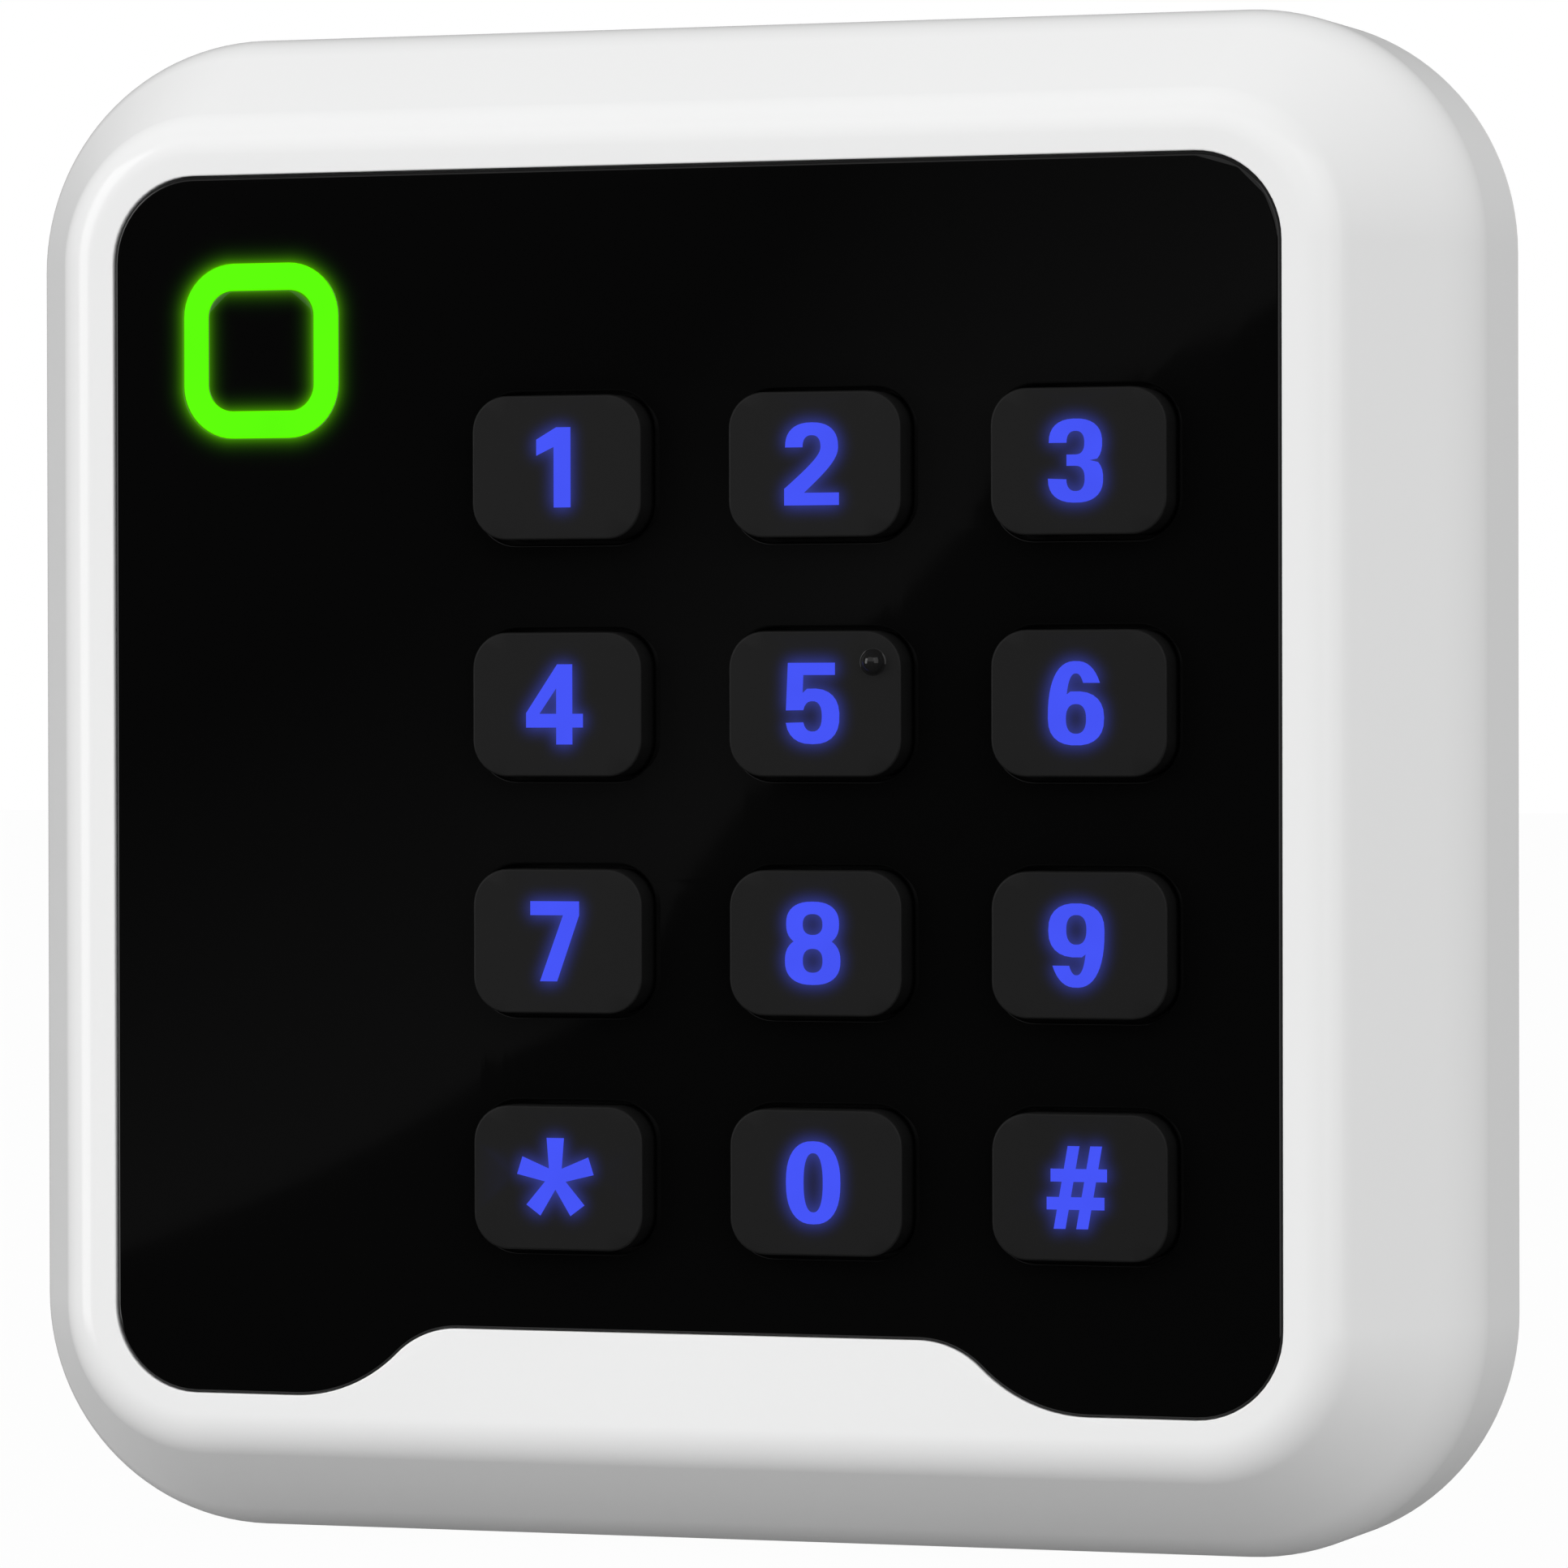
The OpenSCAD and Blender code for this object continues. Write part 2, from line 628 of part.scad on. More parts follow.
module rear_base() color("gainsboro") mounted() {
    lip_side = base_side - 2 * base_lip_t;
    difference() {
        union() {
            difference() {
                rounded_block(base_side, base_side, base_corner_r, lip_h);
                translate([0, 0, base_t]) rounded_block(lip_side, lip_side, base_corner_r - base_lip_t, lip_h);
            }
            wall_holes(5.2, base_t - cut, 1.5 + cut);
            cylinder(h = base_t + 2.4, r = grommet_flange_r + 1.6);
            translate([tamper_at.x, tamper_at.y, 0]) cylinder(h = 8, r = 4);
            translate([-screw_block.x / 2, -base_side / 2, 0]) cube([screw_block.x, screw_block.y, lip_h]);
        }
        wall_holes(fixing_d / 2, -cut, base_t + 2 + 2 * cut);
        wall_holes(4.2, base_t, 3);
        translate([0, 0, -cut]) cylinder(h = base_t + 2.4 + 2 * cut, r = grommet_r);
        translate([0, 0, -cut]) cylinder(h = grommet_flange_t + cut, r = grommet_flange_r);
        translate([0, 0, base_t + 2.4 - grommet_flange_t]) cylinder(h = grommet_flange_t + cut, r = grommet_flange_r);
        translate([tamper_at.x, tamper_at.y, -cut]) cylinder(h = 8 + 2 * cut, r = tamper_plunger_r + 0.4);
        translate([0, -base_side / 2 + screw_block.y - 1, cover_screw_z]) rotate([90, 0, 0])
            cylinder(h = screw_block.y - 1 + cut, r = cover_screw_r + 0.05);
        translate([0, 0, seal_z]) difference() {
            translate([0, 0, 0]) rounded_block(body_side, body_side, body_corner_r, seal_h);
            translate([0, 0, -cut]) rounded_block(base_side - 2 * seal_depth, base_side - 2 * seal_depth,
                base_corner_r - seal_depth, seal_h + 2 * cut);
        }
        for (x = [-1, 1]) translate([x * hook_x - hook_w / 2 - 0.5, base_side / 2 - base_lip_t - cut, hook_z - 0.3])
            cube([hook_w + 1, base_lip_t + 2 * cut, hook_h + 0.6]);
        for (q = [0 : 3]) rotate(90 * q) translate([21, 21, -cut]) rounded_block(22, 22, 3, 0.8 + cut);
    }
}

module base_seal() color([0.2, 0.2, 0.2]) mounted() translate([0, 0, seal_z])
    linear_extrude(height = seal_h) difference() {
        rounded_rect(body_side - 2 * wall_t, body_side - 2 * wall_t, inner_corner_r);
        rounded_rect(base_side - 2 * seal_depth, base_side - 2 * seal_depth, base_corner_r - seal_depth);
    }

module cable_grommet() color([0.15, 0.15, 0.15]) mounted() rotate_extrude()
    polygon([[cable_d / 2, 0.2], [grommet_flange_r - 0.1, 0.2], [grommet_flange_r - 0.1, grommet_flange_t],
             [grommet_r, grommet_flange_t], [grommet_r, base_t + 2.4 - grommet_flange_t],
             [grommet_flange_r - 0.1, base_t + 2.4 - grommet_flange_t], [grommet_flange_r - 0.1, base_t + 2.8],
             [cable_d / 2, base_t + 2.8]]);

module board_screws() color("silver") mounted() corners(boss_at) difference() {
    union() {
        translate([0, 0, board_z - 1.5]) cylinder(h = 1.5, r = 2.2);
        translate([0, 0, board_z]) cylinder(h = board_t + 2, r = board_screw_r);
    }
    for (a = [0, 90]) rotate(a) translate([-1.3, -0.25, board_z - 1.5 - cut]) cube([2.6, 0.5, 0.8 + cut]);
}

module cover_screw() color("silver") mounted()
    translate([0, -body_side / 2 + 0.1, cover_screw_z]) rotate([-90, 0, 0]) difference() {
        union() {
            cylinder(h = cover_head_t, r = cover_head_r);
            cylinder(h = cover_screw_l, r = cover_screw_r);
        }
        translate([0, 0, -cut]) cylinder(h = 0.8 + cut, r = 1.1, $fn = 6);
    }

front_cover();
fascia_panel();
bonding_tape();
status_ring();
ring_insert();
light_shroud();
ring_leds();
key_leds();
keypad_mat();
mat_webs();
main_board();
antenna_coil();
processor();
support_chips();
beeper();
tamper_switch();
tamper_plunger();
terminal_block();
terminal_screws();
rear_base();
base_seal();
cable_grommet();
board_screws();
cover_screw();
for (i = [0 : 11]) {
    key(i);
    legend(i);
    contact_pill(i);
}
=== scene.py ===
# Keypad access reader: a wall unit with twelve backlit keys, a status light ring and a card antenna.
# The file follows the unit as it is put together: the front half from its face inwards, the board
# with all it carries, then the rear base that closes it, and last the studio it stands in.
import math

import bmesh
import bpy
import numpy as np
from mathutils import Matrix, Vector
from mathutils.bvhtree import BVHTree


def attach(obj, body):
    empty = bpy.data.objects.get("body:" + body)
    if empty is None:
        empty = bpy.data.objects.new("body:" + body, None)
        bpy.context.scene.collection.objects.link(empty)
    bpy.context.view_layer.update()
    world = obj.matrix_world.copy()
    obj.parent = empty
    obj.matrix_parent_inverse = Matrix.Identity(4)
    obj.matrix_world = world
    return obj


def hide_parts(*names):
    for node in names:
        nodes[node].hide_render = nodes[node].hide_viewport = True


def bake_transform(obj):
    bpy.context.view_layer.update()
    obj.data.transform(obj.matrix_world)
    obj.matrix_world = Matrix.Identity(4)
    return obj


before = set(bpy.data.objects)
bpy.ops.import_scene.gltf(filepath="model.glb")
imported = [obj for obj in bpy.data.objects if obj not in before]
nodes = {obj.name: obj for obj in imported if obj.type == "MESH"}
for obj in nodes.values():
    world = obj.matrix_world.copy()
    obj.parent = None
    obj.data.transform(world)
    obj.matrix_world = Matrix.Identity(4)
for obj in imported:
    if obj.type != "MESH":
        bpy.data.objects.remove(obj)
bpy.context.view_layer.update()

# ---- Front cover ----
# The white shell of the unit, moulded in glossy ABS: a flat rim, a broad chamfer and straight side
# walls. Its front has a shallow pocket for the fascia, with a tongue that rises into it. Inside,
# four bosses take the board screws, and two hooks and one screw hold the rear base.
MM = 1000
SIDE = 115
DEPTH = 24.7
CORNER_R = 17.9
CORNER_AT = SIDE / 2 - CORNER_R
WALL_T = 2.4
SIDE_WALL_H = 9.35
SHOULDER_R = 11.6
CHAMFER = 57.2
RIM_R = 3.86
POCKET_Z = 22.9
POCKET_HALF = 46.13
POCKET_CORNER_R = 6.6
TONGUE_HALF = 18.24
TONGUE_RISE = 5.345
TONGUE_SHOULDER_R = 6.95
TONGUE_FOOT_R = 11.87
ROOF_Z = 21.5
BOARD_TOP_Z = 19.0
WINDOW_W = 86
WINDOW_H = 80
WINDOW_CORNER_R = 8
WINDOW_UP = 3
BOSS_AT = 42
BOSS_R = 3.2
PILOT_R = 1.15
COVER_SCREW_Z = 4.8
SCREW_BORE = ((2.9, 0), (2.9, 1.5), (1.7, 1.5), (1.7, WALL_T))
HOOK_AT = 30
HOOK_W = 10
HOOK_Z = 3.8
HOOK_H = 1.4
HOOK_OUT = 1.2
OUT_OF_WALL = (0, -1, 0)


def standing(x, y, z):
    """A point of the unit lying on its back, in millimetres, as it stands, in metres."""
    return (x / MM, -z / MM, y / MM)


def arc(cx, cy, r, start, end, steps):
    """Points on an arc between two directions in degrees, both ends included."""
    turns = [math.radians(start + (end - start) * i / steps) for i in range(steps + 1)]
    return [(cx + r * math.cos(a), cy + r * math.sin(a)) for a in turns]


def circle(cx, cy, r, steps=32):
    """Points round a whole circle."""
    return arc(cx, cy, r, 0, 360 - 360 / steps, steps - 1)


def rounded(w, h, r, steps=10, at=(0, 0)):
    """A rounded rectangle, anticlockwise from the right end of its lower side."""
    x, y = w / 2 - r, h / 2 - r
    outline = []
    for cx, cy, turn in ((x, -y, -90), (x, y, 0), (-x, y, 90), (-x, -y, 180)):
        outline += arc(at[0] + cx, at[1] + cy, r, turn, turn + 90, steps)
    return outline


def fascia_outline(g):
    """The fascia's pocket, shrunk by g all round: a rounded square with the tongue cut in below."""
    square = rounded(2 * (POCKET_HALF - g), 2 * (POCKET_HALF - g), POCKET_CORNER_R - g, 14)
    span = TONGUE_SHOULDER_R + TONGUE_FOOT_R
    lean = math.degrees(math.acos(1 - TONGUE_RISE / span))
    foot_x = TONGUE_HALF + span * math.sin(math.radians(lean))
    foot_y = TONGUE_FOOT_R - POCKET_HALF
    shoulder_y = TONGUE_RISE - POCKET_HALF - TONGUE_SHOULDER_R
    left = arc(-foot_x, foot_y, TONGUE_FOOT_R - g, -90, lean - 90, 14)
    left += arc(-TONGUE_HALF, shoulder_y, TONGUE_SHOULDER_R + g, 90 + lean, 90, 12)[1:]
    return square + left + [(-x, y) for x, y in reversed(left)]


def ring_of(bm, outline, z):
    """New corners of the mesh along an outline, at one height out of the wall."""
    return [bm.verts.new(standing(x, y, z)) for x, y in outline]


def skin(bm, rings, gap=False):
    """Walls between rings of corners. With a gap, the last stretch of each ring stays open."""
    for low, high in zip(rings, rings[1:]):
        count = len(low)
        for i in range(count - 1 if gap else count):
            j = (i + 1) % count
            bm.faces.new((low[i], low[j], high[j], high[i]))


def flat(bm, *outlines, facing=OUT_OF_WALL):
    """A flat face between outlines in one plane: the first is its edge, the others are its holes."""
    edges = []
    for outline in outlines:
        for a, b in zip(outline, outline[1:] + outline[:1]):
            edges.append(bm.edges.get((a, b)) or bm.edges.new((a, b)))
    bmesh.ops.triangle_fill(bm, use_beauty=True, edges=edges, normal=facing)


def eased(z, r, steps=4):
    """The rounded edge of a face, from face to wall: how far in from the wall, and the height."""
    turns = [math.pi / 2 * i / steps for i in range(steps + 1)]
    return [(r - r * math.sin(a), z - r + r * math.cos(a)) for a in turns]


def tube(bm, x, y, z0, z1, r_out, r_in):
    """A round sleeve along the depth, its lower end eased."""
    sizes = ((r_out - 0.15, z0), (r_out, z0 + 0.15), (r_out, z1), (r_in, z1), (r_in, z0 + 0.15),
             (r_in + 0.15, z0))
    rings = [ring_of(bm, circle(x, y, r), z) for r, z in sizes]
    skin(bm, rings + rings[:1])


def block(bm, low, high, ease):
    """A box with eased edges, between two corners of the unit lying on its back."""
    size = [(b - a) / MM for a, b in zip(low, high)]
    middle = standing(*[(a + b) / 2 for a, b in zip(low, high)])
    place = Matrix.Translation(middle) @ Matrix.Diagonal((size[0], size[2], size[1], 1))
    made = bmesh.ops.create_cube(bm, size=1, matrix=place)
    edges = list({e for v in made["verts"] for e in v.link_edges})
    bmesh.ops.bevel(bm, geom=edges, offset=ease / MM, segments=2, profile=0.5, affect="EDGES")


def finished(bm, name, sharp=35):
    """The mesh as an object, smooth except across edges sharper than that many degrees."""
    bmesh.ops.recalc_face_normals(bm, faces=bm.faces[:])
    for face in bm.faces:
        face.smooth = True
    for edge in bm.edges:
        edge.smooth = len(edge.link_faces) == 2 and edge.calc_face_angle(0) < math.radians(sharp)
    mesh = bpy.data.meshes.new(name)
    bm.to_mesh(mesh)
    bm.free()
    piece = bpy.data.objects.new(name, mesh)
    bpy.context.scene.collection.objects.link(piece)
    even = piece.modifiers.new("even shading", "WEIGHTED_NORMAL")
    even.keep_sharp = True
    even.weight = 80
    return piece


def add(tree, kind, **settings):
    """A shader node of that kind, with its settings."""
    node = tree.nodes.new("ShaderNode" + kind)
    for label, value in settings.items():
        setattr(node, label, value)
    return node


def maths(tree, operation, *values, clamp=False):
    """The result of one sum on numbers or on other nodes' results."""
    node = add(tree, "Math", operation=operation, use_clamp=clamp)
    for socket, value in zip(node.inputs, values):
        if isinstance(value, (int, float)):
            socket.default_value = value
        else:
            tree.links.new(value, socket)
    return node.outputs[0]


def new_group(name, inputs, outputs):
    """A shader node group with named sockets, and the nodes for its inputs and outputs."""
    tree = bpy.data.node_groups.new(name, "ShaderNodeTree")
    for label, kind, value in inputs:
        socket = tree.interface.new_socket(label, in_out="INPUT", socket_type="NodeSocket" + kind)
        socket.default_value = value
    for label, kind in outputs:
        tree.interface.new_socket(label, in_out="OUTPUT", socket_type="NodeSocket" + kind)
    return tree, tree.nodes.new("NodeGroupInput"), tree.nodes.new("NodeGroupOutput")


def moulded_surface():
    """What moulding leaves on plastic: slow drift in colour, smears in the gloss and a fine grain."""
    tree, given, result = new_group(
        "moulded surface",
        [("Colour", "Color", (0.8, 0.8, 0.8, 1)), ("Drift", "Float", 0.03), ("Gloss", "Float", 0.3),
         ("Smears", "Float", 0.05), ("Grain size", "Float", 0.4)],
        [("Colour", "Color"), ("Roughness", "Float"), ("Height", "Float")])
    place = add(tree, "TexCoord")
    clouds = add(tree, "TexNoise")
    clouds.inputs["Scale"].default_value = 38
    clouds.inputs["Detail"].default_value = 3
    tree.links.new(place.outputs["Object"], clouds.inputs["Vector"])
    swing = maths(tree, "SUBTRACT", clouds.outputs["Fac"], 0.5)
    share = maths(tree, "MULTIPLY_ADD", swing, given.outputs["Drift"], 1.0)
    tint = add(tree, "VectorMath", operation="SCALE")
    tree.links.new(given.outputs["Colour"], tint.inputs[0])
    tree.links.new(share, tint.inputs["Scale"])
    tree.links.new(tint.outputs[0], result.inputs["Colour"])
    stretch = add(tree, "Mapping")
    stretch.inputs["Rotation"].default_value = (0.3, 0.7, 0.2)
    stretch.inputs["Scale"].default_value = (60, 60, 260)
    tree.links.new(place.outputs["Object"], stretch.inputs["Vector"])
    wipe = add(tree, "TexNoise")
    wipe.inputs["Scale"].default_value = 1
    wipe.inputs["Detail"].default_value = 5
    tree.links.new(stretch.outputs[0], wipe.inputs["Vector"])
    streak = maths(tree, "SUBTRACT", wipe.outputs["Fac"], 0.5)
    worn = maths(tree, "MULTIPLY_ADD", streak, given.outputs["Smears"], given.outputs["Gloss"])
    tree.links.new(worn, result.inputs["Roughness"])
    fine = maths(tree, "DIVIDE", MM, given.outputs["Grain size"])
    pores = add(tree, "TexVoronoi", feature="SMOOTH_F1")
    tree.links.new(place.outputs["Object"], pores.inputs["Vector"])
    tree.links.new(fine, pores.inputs["Scale"])
    tree.links.new(pores.outputs["Distance"], result.inputs["Height"])
    return tree


SURFACE = moulded_surface()


def plastic(name, colour, gloss, drift=0.03, smears=0.05, grain=0.4, relief=0.004):
    """A moulded plastic: relief is the depth of its grain in millimetres."""
    material = bpy.data.materials.new(name)
    material.use_nodes = True
    tree = material.node_tree
    shader = tree.nodes["Principled BSDF"]
    surface = add(tree, "Group", node_tree=SURFACE)
    surface.inputs["Colour"].default_value = (*colour, 1)
    surface.inputs["Drift"].default_value = drift
    surface.inputs["Gloss"].default_value = gloss
    surface.inputs["Smears"].default_value = smears
    surface.inputs["Grain size"].default_value = grain
    tree.links.new(surface.outputs["Colour"], shader.inputs["Base Color"])
    tree.links.new(surface.outputs["Roughness"], shader.inputs["Roughness"])
    bump = add(tree, "Bump")
    bump.inputs["Distance"].default_value = relief / MM
    tree.links.new(surface.outputs["Height"], bump.inputs["Height"])
    tree.links.new(bump.outputs["Normal"], shader.inputs["Normal"])
    return material


def surface_of(material):
    """The node that gives a moulded material its colour, gloss and grain."""
    return next(node for node in material.node_tree.nodes if node.bl_idname == "ShaderNodeGroup")


def dress(piece, material, body="root", stands_for=()):
    """Gives a new piece its material and its body, and hides the node it stands for."""
    piece.data.materials.clear()
    piece.data.materials.append(material)
    if body:
        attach(piece, body)
    if stands_for:
        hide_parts(*stands_for)


bm = bmesh.new()
shoulder = arc(CORNER_R - SHOULDER_R, SIDE_WALL_H, SHOULDER_R, 0, 90 - CHAMFER, 14)
slope = math.tan(math.radians(CHAMFER))
rim_turn_z = DEPTH - RIM_R * (1 - math.cos(math.radians(CHAMFER)))
rim_turn_x = shoulder[-1][0] - (rim_turn_z - shoulder[-1][1]) / slope
rim_x = rim_turn_x - RIM_R * math.sin(math.radians(CHAMFER))
rim = arc(rim_x, DEPTH - RIM_R, RIM_R, 90 - CHAMFER, 90, 20)
profile = [(CORNER_R - 0.2, 0), (CORNER_R, 0.2)] + shoulder + rim


def cover_ring(u, z):
    """A ring round the body, u out from the corner centres."""
    return ring_of(bm, rounded(2 * (CORNER_AT + u), 2 * (CORNER_AT + u), u, 28), z)


outer = [cover_ring(u, z) for u, z in profile]
skin(bm, outer[:2])
skin(bm, outer[1:3], gap=True)
skin(bm, outer[2:])
pocket = [ring_of(bm, fascia_outline(-g), z) for g, z in eased(DEPTH, 0.12)]
pocket.append(ring_of(bm, fascia_outline(0), POCKET_Z))
skin(bm, pocket)
flat(bm, outer[-1], pocket[0])
opening = rounded(WINDOW_W, WINDOW_H, WINDOW_CORNER_R, 12, (0, WINDOW_UP))
window = [ring_of(bm, opening, z) for z in (POCKET_Z, ROOF_Z)]
skin(bm, window)
flat(bm, pocket[-1], window[0])
inner_r = CORNER_R - WALL_T
roof_x = rim_turn_x - (ROOF_Z - rim_turn_z) / slope - WALL_T / math.sin(math.radians(CHAMFER))
bend_z = ROOF_Z - (inner_r - roof_x) * slope
hollow = ((roof_x, ROOF_Z), (inner_r, bend_z), (inner_r, 0.2), (inner_r + 0.2, 0))
inner = [cover_ring(u, z) for u, z in hollow]
flat(bm, window[1], inner[0])
skin(bm, inner[:2])
skin(bm, inner[1:3], gap=True)
skin(bm, inner[2:] + outer[:1])
bore = []
for r, depth in SCREW_BORE:
    edge = circle(0, COVER_SCREW_Z, r, 24)
    bore.append([bm.verts.new(standing(x, depth - SIDE / 2, z)) for x, z in edge])
skin(bm, bore)
flat(bm, [outer[1][-1], outer[1][0], outer[2][0], outer[2][-1]], bore[0], facing=(0, 0, -1))
flat(bm, [inner[1][-1], inner[1][0], inner[2][0], inner[2][-1]], bore[-1], facing=(0, 0, -1))
for bx in (-BOSS_AT, BOSS_AT):
    for by in (-BOSS_AT, BOSS_AT):
        tube(bm, bx, by, BOARD_TOP_Z, ROOF_Z + 0.2, BOSS_R, PILOT_R)
for side in (-1, 1):
    wall = SIDE / 2 - WALL_T
    left, right = side * HOOK_AT - HOOK_W / 2, side * HOOK_AT + HOOK_W / 2
    block(bm, (left, wall - HOOK_OUT, HOOK_Z), (right, wall + 0.5, HOOK_Z + HOOK_H), 0.2)
cover = finished(bm, "cover_shell")
white_gloss = plastic("white gloss ABS", (0.80, 0.80, 0.80), 0.16, 0.012, 0.05, 1.6, 0.0006)
dress(cover, white_gloss, stands_for=["front_cover"])

# ---- Fascia panel ----
# A flat plate of black gloss acrylic, cut to the pocket with its edges polished round, with twelve
# openings for the keys and one for the light ring. The light bleeds a little into it round the ring.
FASCIA_Z = 23.1
FASCIA_TOP_Z = 24.6
KEY_W = 13.4
KEY_H = 10.74
KEY_CORNER_R = 2.7
KEY_GAP = 0.3
FASCIA_GAP = 0.08
RING_GAP = 0.05
LABELS = ["1", "2", "3", "4", "5", "6", "7", "8", "9", "star", "0", "hash"]
KEY_AT = [(11.03 + (i % 3 - 1) * 20.315, 23.64 - i // 3 * 17.62) for i in range(12)]
RING_AT = (-34, 32.81)
RING_W = 12.57
RING_H = 13.12
RING_BAND = 1.95
RING_CORNER_R = 4


def key_outline(i, g):
    """The outline of a key, grown by g all round."""
    return rounded(KEY_W + 2 * g, KEY_H + 2 * g, KEY_CORNER_R + g, 10, KEY_AT[i])


def ring_outline(g):
    """The status ring's outer outline, grown by g all round."""
    return rounded(RING_W + 2 * g, RING_H + 2 * g, RING_CORNER_R + g, 12, RING_AT)


def ring_hole(g):
    """The status ring's inner outline, grown by g all round."""
    band = 2 * RING_BAND - 2 * g
    return rounded(RING_W - band, RING_H - band, RING_CORNER_R - RING_BAND + g, 12, RING_AT)


def length(tree, x, z):
    """The length of a step of x across and z up."""
    squares = [maths(tree, "MULTIPLY", part, part) for part in (x, z)]
    return maths(tree, "SQRT", maths(tree, "ADD", *squares))


def box_distance(tree, x, z, half_w, half_h, r):
    """How far a point lies outside a rounded rectangle: below nought is inside."""
    dx = maths(tree, "SUBTRACT", maths(tree, "ABSOLUTE", x), half_w - r)
    dz = maths(tree, "SUBTRACT", maths(tree, "ABSOLUTE", z), half_h - r)
    out_x = maths(tree, "MAXIMUM", dx, 0)
    out_z = maths(tree, "MAXIMUM", dz, 0)
    within = maths(tree, "MINIMUM", maths(tree, "MAXIMUM", dx, dz), 0)
    return maths(tree, "SUBTRACT", maths(tree, "ADD", length(tree, out_x, out_z), within), r)


def ring_bleed():
    """The green light that bleeds into the black acrylic on both sides of the ring."""
    tree, given, result = new_group(
        "ring bleed", [("Strength", "Float", 0.3), ("Reach", "Float", 0.32)], [("Colour", "Color")])
    place = add(tree, "SeparateXYZ")
    tree.links.new(add(tree, "TexCoord").outputs["Object"], place.inputs[0])
    x = maths(tree, "MULTIPLY_ADD", place.outputs["X"], MM, -RING_AT[0])
    z = maths(tree, "MULTIPLY_ADD", place.outputs["Z"], MM, -RING_AT[1])
    outside = box_distance(tree, x, z, RING_W / 2, RING_H / 2, RING_CORNER_R)
    hole_w, hole_h = RING_W / 2 - RING_BAND, RING_H / 2 - RING_BAND
    inside = box_distance(tree, x, z, hole_w, hole_h, RING_CORNER_R - RING_BAND)
    away = maths(tree, "MAXIMUM", outside, maths(tree, "MULTIPLY", inside, -1))
    away = maths(tree, "MAXIMUM", away, 0)
    share = maths(tree, "DIVIDE", maths(tree, "MULTIPLY", away, -1), given.outputs["Reach"])
    fade = maths(tree, "EXPONENT", share)
    glow = maths(tree, "MULTIPLY", fade, given.outputs["Strength"])
    mix = add(tree, "CombineColor")
    tree.links.new(maths(tree, "MULTIPLY", glow, 0.21), mix.inputs["Red"])
    tree.links.new(glow, mix.inputs["Green"])
    tree.links.new(mix.outputs[0], result.inputs["Colour"])
    return tree


def with_ring_bleed(material):
    """Adds the ring's light to a material that lies round it."""
    tree = material.node_tree
    shader = tree.nodes["Principled BSDF"]
    bleed = add(tree, "Group", node_tree=RING_BLEED)
    tree.links.new(bleed.outputs["Colour"], shader.inputs["Emission Color"])
    shader.inputs["Emission Strength"].default_value = 1


RING_BLEED = ring_bleed()
black_gloss = plastic("black gloss acrylic", (0.002, 0.002, 0.002), 0.03, 0.2, 0.02, 2.2, 0.0001)
with_ring_bleed(black_gloss)

bm = bmesh.new()
edges = [("fascia", 0.3), ("ring", 0.1)] + [(i, 0.18) for i in range(12)]
faces = []
for edge, r in edges:
    rings = []
    for g, z in eased(FASCIA_TOP_Z, r, 5) + [(0, FASCIA_Z + 0.1), (0.1, FASCIA_Z)]:
        if edge == "fascia":
            rings.append(ring_of(bm, fascia_outline(FASCIA_GAP + g), z))
        elif edge == "ring":
            rings.append(ring_of(bm, ring_outline(RING_GAP + g), z))
        else:
            rings.append(ring_of(bm, key_outline(edge, KEY_GAP + g), z))
    skin(bm, rings)
    faces.append((rings[0], rings[-1]))
flat(bm, *[top for top, back in faces])
flat(bm, *[back for top, back in faces])
fascia = finished(bm, "fascia_plate")
dress(fascia, black_gloss, stands_for=["fascia_panel"])

# ---- Bonding tape ----
# A die-cut frame of thin acrylic foam tape, sticky on both faces. It bonds the fascia to the ledge
# at the bottom of the cover's pocket.
def carry(node, material, ease=0.0):
    """Keeps a node's own shape, with this material and, where it has room, eased edges."""
    piece = nodes[node]
    piece.data.materials.clear()
    piece.data.materials.append(material)
    if ease:
        joined = piece.modifiers.new("joined", "WELD")
        joined.merge_threshold = 1e-6
        soft = piece.modifiers.new("eased edges", "BEVEL")
        soft.width = ease / MM
        soft.segments = 2
        soft.limit_method = "ANGLE"
        soft.angle_limit = math.radians(40)
        soft.use_clamp_overlap = True
        soft.harden_normals = True


foam = plastic("grey foam tape", (0.09, 0.09, 0.095), 0.85, 0.12, 0.05, 0.12, 0.02)
carry("bonding_tape", foam)

# ---- Status ring ----
# A light guide of frosted acrylic, a rounded square ring that fills its opening and is held behind
# the fascia by a flange. Four diodes feed it, and its light is a touch stronger in soft pools. The black
# island of fascia acrylic inside it sits on its inner step.
FLANGE_BACK_Z = 22.3
FLANGE_TOP_Z = FASCIA_Z - 0.02
FLANGE_OUT = 1
FLANGE_IN = -0.7
GUIDE_EASE = 0.08
FROST_DEPTH = 0.004
ISLAND_GAP = 0.05

bm = bmesh.new()
section = [(ring_outline, FLANGE_OUT, FLANGE_BACK_Z), (ring_outline, FLANGE_OUT, FLANGE_TOP_Z)]
section += [(ring_outline, 0, FLANGE_TOP_Z)]
section += [(ring_outline, -g, z) for g, z in reversed(eased(FASCIA_TOP_Z, GUIDE_EASE))]
section += [(ring_hole, g, z) for g, z in eased(FASCIA_TOP_Z, GUIDE_EASE)]
section += [(ring_hole, 0, FLANGE_TOP_Z), (ring_hole, FLANGE_IN, FLANGE_TOP_Z)]
section += [(ring_hole, FLANGE_IN, FLANGE_BACK_Z)]
rings = [ring_of(bm, outline(g), z) for outline, g, z in section]
skin(bm, rings + rings[:1])
guide = finished(bm, "ring_guide")


